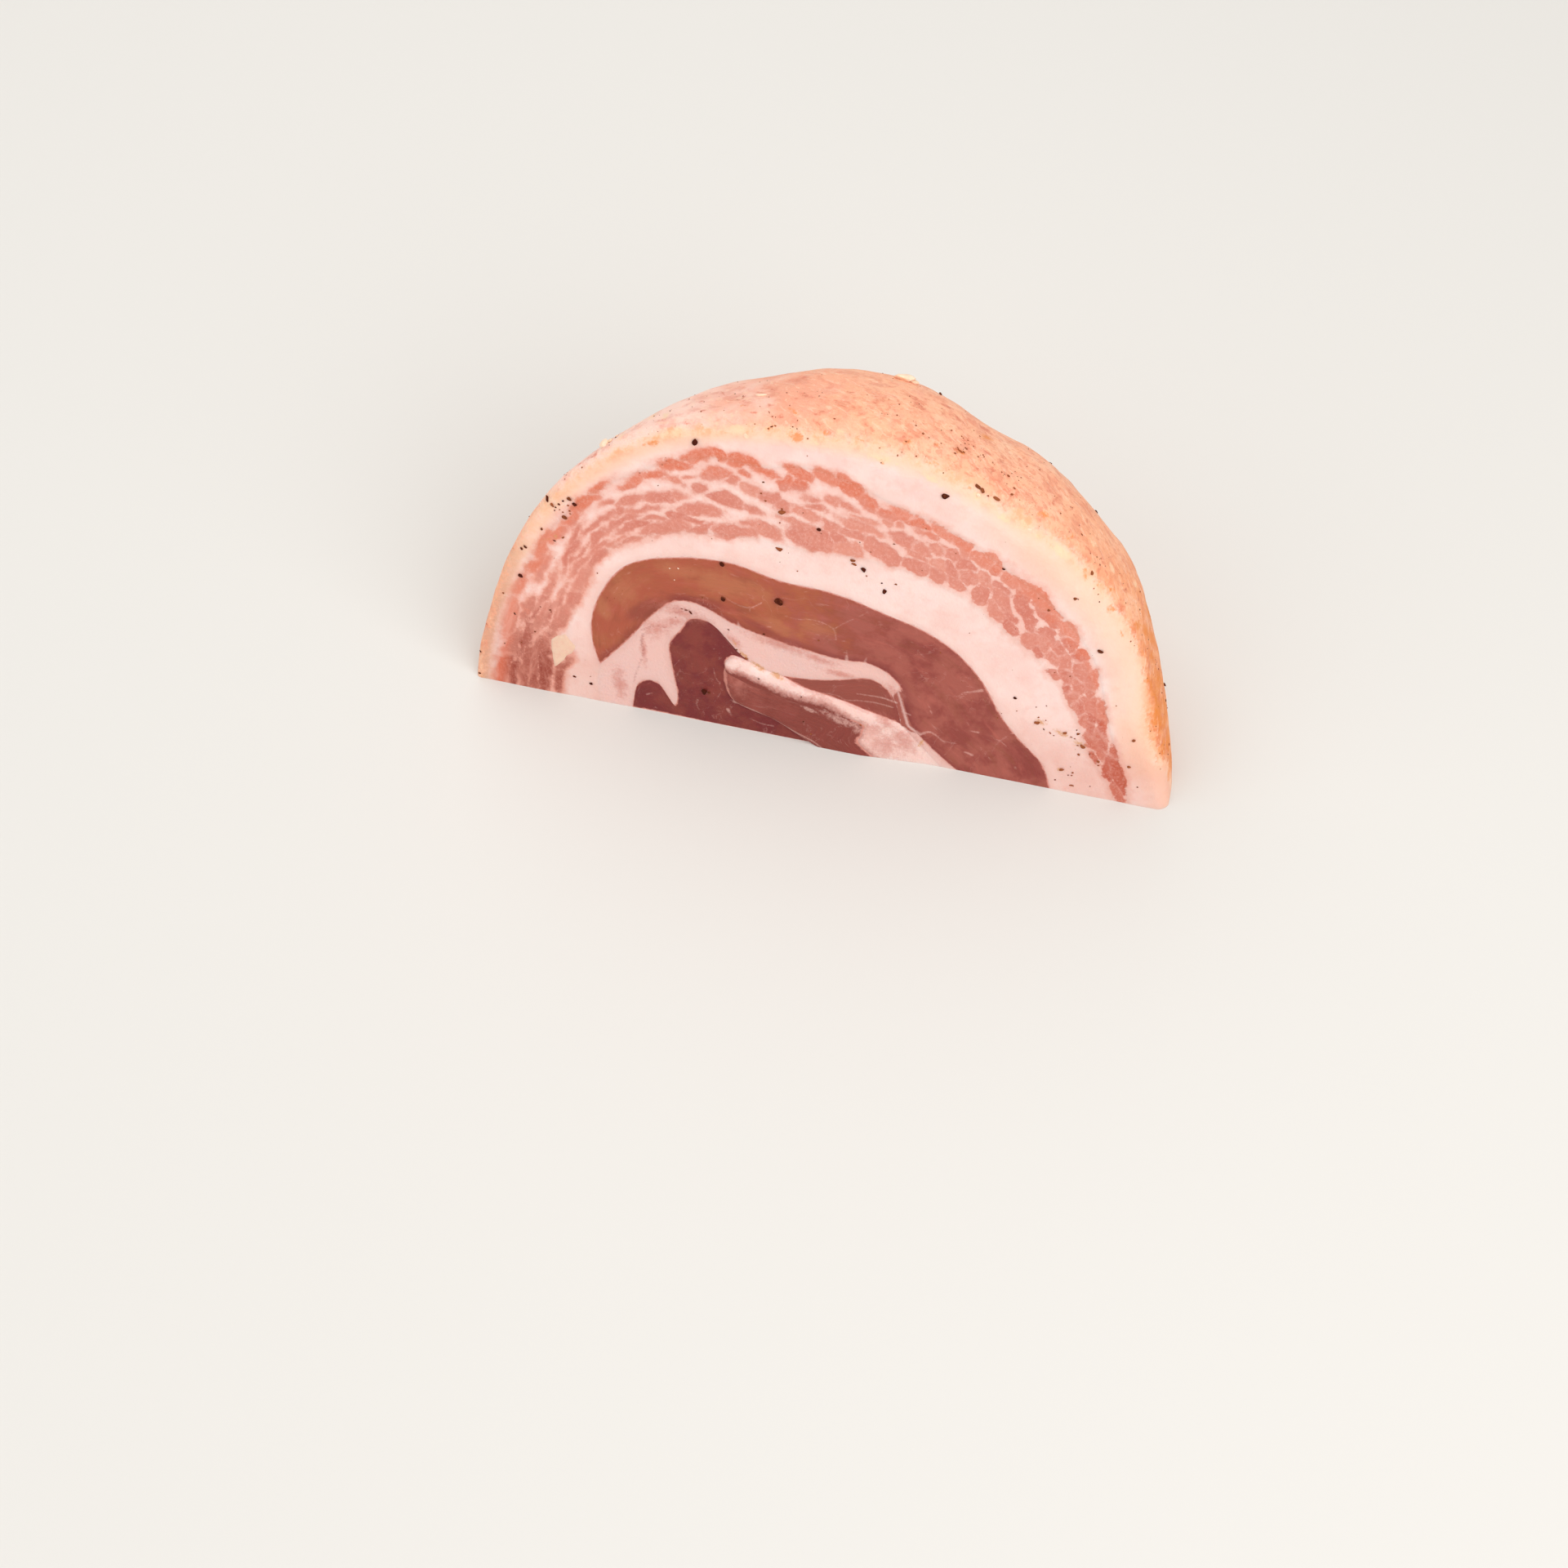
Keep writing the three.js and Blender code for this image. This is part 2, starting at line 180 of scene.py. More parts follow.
TONGUE = (
    FLAP_SHOULDER, (-19.2, 21.4), (-22.2, 25.2), (-25, 27.1), (-28.4, 26.8), (-30.4, 23.4), (-32.6, 19),
    (-31.6, 12), (-30.4, 6), TONGUE_TIP, (-32.4, 4.8), (-34.4, 7.7), (-37, 8.3), (-39.3, 6.2), (-40.2, 0),
)
FLAP_NOSE = (FLAP_SHOULDER, (-18.6, 19.2), (-20.4, 17.6), FLAP_NOTCH)
FLAP_UNDER = (FLAP_NOTCH, (-20.2, 12), (-17.8, 7.6), (-9.6, 4.8), (-3.2, 1.5), (-0.4, 0))
FLAP_SEAM = (
    FLAP_NOTCH, (-15.4, 13.6), (-12, 12.7), (-6.6, 11.4), (0.6, 10.4), (9.4, 8.8), (10, 6.2), (9.4, 3.4),
    (12.8, 0),
)

# Points that lie opposite each other on the two sides of a layer, where plain shares would cross
INNER_FAT_PAIRS = (
    ((18.4, 13.4), (16.4, 13.8)), ((9, 24), (9, 20.1)), ((-9, 25), (-12, 17.2)),
    ((-25.6, 30.6), (-22.2, 25.2)), ((-31.2, 30.8), (-28.4, 26.8)), ((-36.1, 26.2), (-31.8, 21)),
    ((-41.8, 17.6), (-31.6, 12)), ((-44.6, 14), TONGUE_TIP), ((-47, 10.8), (-35, 8.1)),
    ((-47.9, 5.4), (-39.3, 6.2)),
)
INNER_FAT_BEND = ((-41.8, 0, 0), (-44.6, 7, 7), (-47, 0, 2.4))
CORE_PAIRS = (
    ((-36, 8.4), (-35, 0)), (TONGUE_TIP, (-29, 0)), ((-30.6, 7.4), (-9.6, 4.8)), ((-31.6, 12), (-17.8, 7.6)),
    ((-32.6, 19), FLAP_NOTCH), ((-29.6, 25), (-17.4, 19.6)),
)
FLAP_FAT_PAIRS = (
    (FLAP_SHOULDER, (-14.4, 13.4)), (LENS_LEFT, (-7, 11.5)), ((11.3, 11.2), (8.6, 9)),
    ((17.6, 9.5), (10, 6.2)), ((21, 6.2), (9.4, 3.4)),
)

# Islands of lean in the marbled band: angle in degrees, share of the way in, half length in degrees,
# half height as a share, and how much deeper the island lies per degree towards the right
ISLANDS = (
    (176.5, 0.12, 4.5, 0.1, 0.01), (170.5, 0.21, 3.5, 0.09, 0.02), (178, 0.28, 3, 0.05, 0),
    (175, 0.42, 5, 0.05, 0), (168, 0.38, 4.5, 0.07, 0.015), (176, 0.55, 5, 0.06, 0),
    (169.5, 0.58, 4, 0.1, 0.03), (174, 0.7, 7, 0.07, 0), (176, 0.9, 4, 0.06, 0),
    (172.5, 0.94, 2.5, 0.05, 0.03), (164.3, 0.1, 3.8, 0.09, 0), (161.5, 0.29, 2.8, 0.06, 0),
    (159.5, 0.44, 4.5, 0.04, 0.01), (161.5, 0.55, 3.8, 0.07, 0.01), (153.5, 0.47, 2.8, 0.05, 0),
    (158, 0.67, 5, 0.045, 0.01), (159, 0.83, 5, 0.08, 0.015), (153, 0.94, 4.5, 0.09, 0.015),
    (156.5, 0.06, 3, 0.07, 0.01), (151.3, 0.12, 2.2, 0.08, 0.01), (151, 0.23, 2.2, 0.06, 0),
    (147.3, 0.05, 3.6, 0.1, -0.02), (144.2, 0.15, 2.2, 0.1, 0.02), (139.7, 0.13, 2, 0.08, 0),
    (134.9, 0.05, 3.6, 0.09, 0.01), (131, 0, 2.8, 0.07, -0.01), (131, 0.27, 1.5, 0.04, 0.01),
    (145, 0.52, 4, 0.05, -0.01), (142, 0.4, 2.5, 0.045, -0.03), (136.5, 0.48, 4.5, 0.05, 0),
    (148.5, 0.93, 3.5, 0.11, 0.01), (145, 0.81, 4, 0.06, 0.02), (142, 0.98, 3.5, 0.08, 0.01),
    (138.2, 0.71, 2.8, 0.07, -0.02), (144, 0.67, 3, 0.04, 0), (140, 0.87, 3.5, 0.05, 0.01),
    (136.5, 0.95, 3, 0.05, -0.01), (133.5, 1, 3.2, 0.06, 0), (130.8, 0.49, 1.8, 0.06, -0.02),
    (127.4, 0.36, 2.8, 0.07, 0), (122.5, 0.42, 3.2, 0.08, 0.01), (126.3, 0.55, 3.4, 0.05, 0.01),
    (132, 0.64, 3.2, 0.05, -0.01), (130.5, 0.78, 3, 0.07, 0), (126.3, 0.72, 2.5, 0.04, 0.01),
    (125.3, 0.9, 5.2, 0.11, -0.01), (121, 0.72, 2.2, 0.08, 0), (124.7, 0.09, 2.3, 0.07, -0.01),
    (121.5, 0.09, 1.3, 0.05, 0), (117.3, 0.03, 2.8, 0.06, 0.01), (113.2, -0.02, 2.6, 0.07, -0.01),
    (109.9, -0.04, 1.2, 0.08, 0.01), (118.5, 0.25, 1.8, 0.05, 0.04), (115.8, 0.22, 1.2, 0.03, 0),
    (114.3, 0.38, 1.7, 0.07, -0.01), (119.2, 0.44, 1.6, 0.05, 0.01), (110.7, 0.18, 2.3, 0.07, 0),
    (108.5, 0.26, 1.4, 0.045, 0), (107.3, -0.01, 1.4, 0.1, 0), (104.6, -0.02, 1.7, 0.07, 0.01),
    (102.4, 0.06, 2.2, 0.05, 0.02), (106, 0.13, 0.9, 0.04, 0), (105.1, 0.32, 1.7, 0.06, 0),
    (102.3, 0.38, 2.4, 0.08, 0.02), (110.5, 0.52, 3.4, 0.09, 0.015), (106.3, 0.6, 2.5, 0.05, 0.01),
    (116.5, 0.66, 4.2, 0.08, 0.01), (118.8, 0.79, 2.5, 0.05, 0.02), (118.5, 0.92, 3, 0.05, -0.01),
    (110.8, 0.92, 5.2, 0.08, -0.01), (108.3, 0.81, 2.5, 0.04, -0.02), (103.8, 0.84, 3.2, 0.11, 0.01),
    (99.6, 0.2, 1.4, 0.1, 0), (97.2, 0.2, 2, 0.06, 0.005), (96.7, 0.08, 2, 0.07, 0.02),
    (92, 0.05, 2.4, 0.08, 0.005), (99.8, 0.46, 2.3, 0.08, 0.01), (96, 0.53, 3.4, 0.06, 0.025),
    (94, 0.35, 1.8, 0.03, 0.01), (93.6, 0.44, 2.3, 0.035, 0.01), (90.6, 0.32, 1, 0.06, 0),
    (97.5, 0.66, 3, 0.04, 0.01), (94.3, 0.83, 5.7, 0.14, 0.01), (90.7, 0.64, 2.6, 0.06, 0),
    (87.4, 0.06, 2.5, 0.09, 0.01), (84.5, 0.13, 2.4, 0.1, 0.015), (88.6, 0.31, 2.2, 0.06, 0.005),
    (80.8, 0.18, 2.7, 0.08, -0.005), (78, 0.08, 2.9, 0.07, -0.005), (77.5, 0.26, 1.1, 0.05, 0),
    (80.5, 0.29, 1.3, 0.04, 0.02), (74.6, 0.12, 2.4, 0.08, 0.01), (72.4, 0.21, 2.3, 0.07, 0.01),
    (71, 0.07, 2.4, 0.05, 0.005), (69.2, 0.1, 1.3, 0.08, 0.02), (84.6, 0.52, 4, 0.06, 0),
    (84.8, 0.41, 2.5, 0.03, -0.01), (86, 0.65, 3.5, 0.06, 0), (75.3, 0.47, 2.9, 0.1, 0),
    (72.6, 0.49, 2, 0.08, 0.01), (79, 0.8, 4.3, 0.14, 0.02), (86.5, 0.89, 3.5, 0.1, 0),
    (89, 0.77, 2, 0.1, 0.02), (71.6, 0.83, 3, 0.13, 0.01), (72.5, 0.65, 2.2, 0.07, 0.01),
    (68.5, 0.62, 2.5, 0.09, 0), (67.2, 0.82, 2.5, 0.12, 0.02), (66.9, 0.1, 1.3, 0.08, 0.02),
    (64.8, 0.14, 1.5, 0.11, 0.03), (61.5, 0.1, 2.3, 0.13, -0.03), (66.5, 0.38, 2.5, 0.09, 0.01),
    (69.6, 0.39, 2, 0.07, 0), (63.2, 0.4, 1.6, 0.11, 0), (64.4, 0.6, 2, 0.1, 0.01), (61.4, 0.57, 2, 0.12, 0),
    (63, 0.82, 2.6, 0.1, 0.01), (58.5, 0.1, 2.1, 0.12, 0), (55.4, 0.13, 2.7, 0.09, 0.01),
    (57, 0.73, 1.9, 0.19, 0.03), (59, 0.4, 2, 0.1, 0.02), (55.3, 0.36, 2.6, 0.06, 0),
    (52.8, 0.54, 3.6, 0.14, 0.03), (51.8, 0.8, 2.4, 0.12, 0.02), (48.2, 0.86, 3, 0.1, 0.02),
    (49.5, 0.69, 2.4, 0.08, 0.02), (48.7, 0.08, 5.4, 0.14, 0.015), (44.8, 0.2, 3, 0.13, 0.01),
    (48.3, 0.42, 4.4, 0.08, 0.05), (40.2, 0.13, 2.3, 0.14, 0.02), (37.6, 0.24, 2.1, 0.12, 0.03),
    (41.6, 0.48, 2.2, 0.12, 0.01), (42.2, 0.8, 2.6, 0.16, 0.04), (39.6, 0.66, 2, 0.12, 0.04),
    (38.5, 0.86, 1.8, 0.1, 0.02), (37, 0.5, 2, 0.1, 0.03), (36.4, 0.73, 1.8, 0.1, 0.03),
    (34, 0.24, 2.1, 0.18, 0.02), (31.4, 0.33, 2.4, 0.2, 0), (34, 0.6, 2.2, 0.16, 0.03),
    (31.4, 0.74, 2, 0.15, 0.02), (33.2, 0.97, 0.9, 0.08, 0), (28.6, 0.25, 2.3, 0.17, 0.03),
    (26, 0.36, 2.1, 0.17, 0.02), (28.8, 0.57, 2.2, 0.12, 0.02), (29, 0.81, 1.8, 0.11, 0.01),
    (26.2, 0.84, 1.8, 0.12, 0.02), (22.9, 0.34, 2.2, 0.2, 0), (21.3, 0.12, 2.4, 0.12, 0.02),
    (24, 0.6, 1.8, 0.1, 0.02), (23.4, 0.83, 2, 0.13, 0.01), (20.6, 0.82, 1.9, 0.13, 0.01),
    (20.2, 0.5, 1.9, 0.14, 0.02), (17, 0.32, 2.7, 0.14, 0.02), (14.3, 0.43, 2.6, 0.18, 0.02),
    (17.5, 0.65, 2.2, 0.13, 0.02), (14.8, 0.78, 2.5, 0.15, 0.02), (12, 0.55, 2, 0.15, 0.02),
    (11.4, 0.15, 1.9, 0.13, 0.01), (6.5, 0.22, 4.6, 0.26, 0), (7, 0.56, 3.8, 0.14, 0.03),
    (1.2, 0.6, 1.8, 0.35, 0), (10.8, 0.88, 1.4, 0.1, 0),
)

# Threads of fat in the lean, and dark threads in the fat: points across and up the face, and half the
# thread's width at its first and last point
PALE_THREADS = (
    (((-17.9, 26.9), (-18.3, 28.5)), 0.5, 0.05), (((5, 23.8), (4.8, 26.4)), 0.45, 0.05),
    (((8.7, 23.5), (9, 25.6)), 0.45, 0.05), (((13.3, 20.9), (13.4, 22.9)), 0.5, 0.08),
    (((15.8, 18.9), (16.7, 20.2)), 0.4, 0.06), (((17.8, 12.9), (19.5, 12.4)), 0.3, 0.08),
    (((16.3, 18), (17.2, 15.4), (17.8, 13.4), (18.7, 10.8), (19.4, 9.3), (21.8, 7.8)), 0.3, 0.4),
    (((21.8, 7.6), (24.1, 8.9), (27.3, 6.9)), 0.35, 0.08),
    (((-0.5, 13.9), (3.5, 14.2), (5.6, 13.4), (8.5, 13.8), (12, 14), (15.5, 13.6)), 0.06, 0.16),
    (((7.9, 15.6), (10.4, 15.6), (13.3, 15.7), (16.3, 15.1)), 0.1, 0.25),
    (((-22.5, 35), (-20, 33.4), (-17.5, 32.5), (-15.5, 32.7), (-13.6, 34.3)), 0.05, 0.16),
    (((-16, 32.6), (-15.8, 31.4)), 0.14, 0.05),
    (((-8.6, 32.1), (-5.7, 31.9), (-3.7, 32.4), (-0.8, 32.4), (1.7, 31.2), (2.4, 28.7)), 0.05, 0.14),
    (((1.7, 31.3), (3.9, 33.5), (5.7, 34.9)), 0.08, 0.04), (((6.7, 35.7), (8.5, 37.3)), 0.1, 0.03),
    (((33.4, 22.6), (31.4, 21.7), (29.7, 21), (28.8, 19.9)), 0.35, 0.08),
    (((31, 21.5), (28.6, 18.9)), 0.1, 0.04), (((26.1, 7.4), (28.2, 7.2), (29.5, 7.3)), 0.05, 0.12),
    (((37.6, 10.5), (38.9, 10.1), (40, 9.1)), 0.06, 0.12),
    (((39.8, 11.8), (38.2, 9.6), (37.2, 6.4)), 0.16, 0.04), (((40.6, 12.8), (41.9, 13.5)), 0.1, 0.3),
    (((31.7, 5.4), (32.5, 5.2), (33.3, 4.9)), 0.2, 0.35), (((32.2, 11.4), (33.9, 11.4)), 0.1, 0.25),
    (((23.5, 14.6), (23.8, 14)), 0.2, 0.1),
    (((-17.9, 7.3), (-14.2, 6.7), (-10, 5.1), (-6.9, 3.9), (-3.8, 2.7), (-0.7, 1.5), (1.5, 0.1)), 0.5, 0.15),
    (((-25.9, 5.7), (-26.1, 4.4), (-25.5, 2.9)), 0.22, 0.1), (((-19.3, 4.7), (-18.4, 3.1)), 0.4, 0.15),
    (((-14.5, 3.3), (-11.9, 2.4), (-9.3, 2.4)), 0.05, 0.15),
    (((-21.2, 11), (-22.4, 12.9), (-22.8, 15)), 0.06, 0.05), (((-37.1, 4.2), (-36, 4.9)), 0.15, 0.1),
)
DARK_THREADS = (
    (((-38.1, 20.6), (-38.5, 18.3), (-38.1, 15.9), (-38.6, 13), (-39.5, 9.8), (-40, 7.2)), 0.2, 0.08),
    (((-38.8, 21.4), (-37, 22.6), (-35, 23.2), (-32.7, 23.4)), 0.12, 0.1),
    (((-31.9, 28.9), (-29.2, 29.2), (-27.7, 28.3)), 0.08, 0.06),
    (((-31.6, 27.8), (-29.9, 28.5), (-28.4, 29.1)), 0.05, 0.05),
)
# Where the lean on both sides has crept over the band of fat and leaves a thread of it
LEAN_THREADS = (
    (((16.4, 18.2), (16.9, 16.6)), 0.3, 1.5),
    (((16.9, 16.6), (17.9, 14.4), (18.7, 12.4), (19.5, 10.6)), 1.5, 2.2),
    (((19.5, 10.6), (20.8, 8.6)), 2.2, 0.9),
)
# Patches on the face: middle across and up, half length, half height, turn in degrees
SINEW_PATCHES = (
    (4.6, 8.8, 5.6, 1.1, -16), (9.6, 7.6, 3, 1.9, -30), (11.4, 4.6, 2, 3.2, -30), (-1.5, 9.8, 2.4, 0.6, -16),
)
ROSE_PATCHES = (
    (-30.4, 28.3, 5.4, 1.5, -8), (-35, 23, 3.4, 1.9, 45), (-38, 16, 0.6, 3.8, 6), (-31.6, 25.6, 2.4, 1.4, 20),
    (14.6, 3.6, 4.4, 3.2, -25), (11.6, 7.4, 2.6, 2, -25), (18.6, 5.6, 4.4, 2.8, -42),
    (14.6, 9.8, 2.6, 1.2, -38), (-8.6, 24.3, 6, 1.2, -10), (-1, 22.8, 4.4, 0.9, -10), (4.1, 20, 4, 0.7, -6),
    (-17, 13.6, 1.6, 3.4, 8), (-19, 23.2, 0.9, 2.2, 40), (15.8, 17.4, 1.4, 2.4, 30), (-43, 6, 1.4, 4, 10),
)
OLIVE_PATCHES = (
    (-19.7, 37.2, 9, 3.4, -5), (-43, 31, 5.4, 3, 38), (-10.3, 28.9, 5.4, 1.8, -18), (-46.4, 25, 1.8, 4.4, 8),
    (-2, 30.4, 4, 2.4, -14), (-31, 38.6, 5, 1.8, 6),
)
PLUM_PATCHES = (
    (-38.4, 27, 6, 1.7, 46), (-26, 31.6, 9.4, 1.5, -3), (44.6, 6, 6.4, 5, -50), (-14, 28.2, 5, 1.1, -20),
    (35, 25.6, 7, 2, -42), (20, 30.4, 8, 1.6, -24),
)
STAINS = (
    (-18.6, 22.4, 1.4, 0.3, -55), (-16.6, 20, 2, 0.55, -42), (-13.4, 17.9, 2.2, 0.6, -28),
    (-9.4, 16.6, 2.4, 0.45, -20), (22.4, 5.5, 0.6, 1.8, -20), (9.6, 8, 0.9, 0.7, 0),
    (46, 17.4, 1.8, 1.2, -10), (50.6, 15.4, 2.4, 0.8, -20), (54.6, 13.4, 1.8, 1, -20),
    (51.8, 5.6, 0.9, 0.6, 0), (-58.8, 40.6, 1.6, 0.5, 10), (-57, 41.6, 0.5, 1, 0),
    (-14.4, 75.6, 1.6, 0.7, 20),
)

# Where the white of the cut ends, by angle: millimetres past the place where the edge begins to round
SKIN_START = (
    (0, 7), (5, 6), (10, 2.6), (17, 2.2), (22, 4), (28, 5.4), (40, 5.4), (48, 4.6), (58, 3.6), (70, 3),
    (80, 2.4), (90, 1.8), (100, 1), (110, 0.2), (120, -0.6), (135, -1.4), (150, -2), (165, -2.6), (180, -3),
)
# Marks on the skin: angle in degrees, millimetres past the worn edge, half length, half width, and turn
ORANGE_MARKS = (
    (96.9, 2.4, 1.8, 1.2, 0), (100.8, 3.3, 1.6, 0.45, 35), (92.8, 4.2, 1, 0.5, 20),
    (47.4, 5.4, 1.6, 0.6, -30), (44.3, 6.4, 1.2, 0.5, 20), (42, 7.6, 2, 0.5, 30), (33.6, 9.2, 2, 0.9, 60),
    (30, 12, 3.4, 1.6, 50), (26, 15, 4, 2, 50), (16.6, 7.6, 4.4, 3.4, 20), (13, 12, 6, 4, 60),
    (19.6, 12, 4, 2.6, 60), (9, 10, 4, 3, 40), (70.5, 4.6, 1.6, 0.4, 12), (77, 5.2, 1.6, 0.35, -5),
    (106, 8, 1, 0.6, 60), (98.4, 7.6, 2, 0.5, -40), (88, 4.6, 1.4, 0.4, 0), (58, 8.6, 2, 0.8, 30),
    (52.6, 8.6, 1.8, 0.5, 60), (4, 7, 2.6, 2.4, 0), (81.3, 6.7, 1.2, 0.7, 30), (77.2, 9.2, 1.4, 0.6, 10),
    (73.6, 10.8, 1.8, 0.8, 20), (70, 22.7, 2.4, 1.4, 40), (83.8, 1.8, 0.8, 0.6, 0), (76.7, 5.2, 1.4, 0.4, 20),
    (118.5, 0.4, 2.2, 0.9, 0), (40, 5.4, 1.4, 0.7, 30), (35.3, 5, 1.2, 0.6, 30), (33, 9.8, 2.4, 1.2, 50),
    (28.7, 20.4, 4, 3, 40), (25.7, 11.6, 2.4, 1.4, 50),
)
RED_MARKS = (
    (97.8, 13.2, 1.9, 0.9, -38), (101.9, 8.8, 0.8, 1, 0), (87, 7, 2.6, 0.4, -28), (81.4, 6.8, 1, 0.4, 0),
    (77.4, 9.2, 1.2, 0.45, 70), (73, 7, 1.6, 0.35, 25), (74, 11, 1.4, 0.7, 60), (67.6, 7.2, 1, 0.6, 30),
    (63.8, 7.4, 0.6, 1, 0), (67.2, 12.4, 1.4, 0.6, 20), (70.2, 13, 1, 0.5, 60), (94.4, 8.6, 1.2, 0.5, -30),
    (91, 10.2, 1, 0.4, 0), (99.6, 6, 1, 0.6, 0), (103.6, 6, 1.2, 0.3, 0), (107, 12.4, 0.5, 1.2, 0),
    (57, 13.6, 0.6, 1.2, 0), (38.8, 11.6, 1.6, 0.6, 50), (34.6, 14.4, 1.4, 0.5, 60), (48.6, 9.4, 0.8, 0.5, 0),
    (81, 12.6, 1.2, 0.4, 50), (85.6, 13.6, 0.6, 1, 0), (61, 11.6, 0.9, 0.4, 30), (111, 14.6, 1.2, 0.4, -50),
    (130, 8, 1.6, 0.6, 20), (142, 6, 2, 0.8, 60), (150, 10, 1.6, 0.7, 30), (160, 7, 2.2, 1, 50),
    (170, 11, 2, 0.8, 20), (75.4, 22.4, 1.8, 0.9, -20), (81.7, 18.6, 2.2, 1.2, 10), (94.8, 7.5, 1, 0.5, 0),
    (77.5, 25, 2, 1, 20), (70.3, 26.8, 2, 1.4, 0), (71.2, 8.8, 1.2, 0.6, 0), (68, 11.1, 1.8, 0.9, 20),
    (66.9, 15.8, 1.6, 1, 40), (92.1, 16.6, 1.6, 0.6, 0), (88.2, 16.2, 1.2, 0.5, -20),
    (82.6, 20.9, 1.6, 0.8, 10), (69.2, 15.8, 1.4, 0.8, 30), (86.8, 12.5, 1.4, 0.5, 20),
    (105.2, 14.4, 1.8, 0.4, 0), (109.5, 8.3, 1.4, 0.4, 10), (111.5, 6.7, 1, 0.4, 0), (110, 20.9, 2, 0.5, 0),
)
BUTTER_MARKS = (
    (105.6, 2.4, 2.6, 1.1, 0), (90.8, 5, 1.3, 0.9, 0), (68.6, 4.3, 1.2, 0.7, 0), (60, 4.8, 1.8, 0.9, 0),
    (57.4, 4.6, 1.4, 0.6, 0), (53, 5, 3, 1.1, 0), (84, 2.2, 3.6, 0.9, 0), (76, 2.6, 3, 0.8, 0),
    (43, 12.2, 1, 1.5, 0), (104.4, 12.8, 2, 0.7, -10), (63, 3.6, 3, 0.8, 0), (98, 3.6, 1.4, 0.5, 0),
    (115, 2, 4, 1.4, 0), (48, 12.6, 1.6, 1.1, 40), (36, 17, 2, 1, 50), (94, 2.2, 1.8, 0.7, 0),
    (118, 8, 3.4, 1, -60), (122, 12, 4, 1.2, -60), (125, 6, 3, 1.2, -60),
)

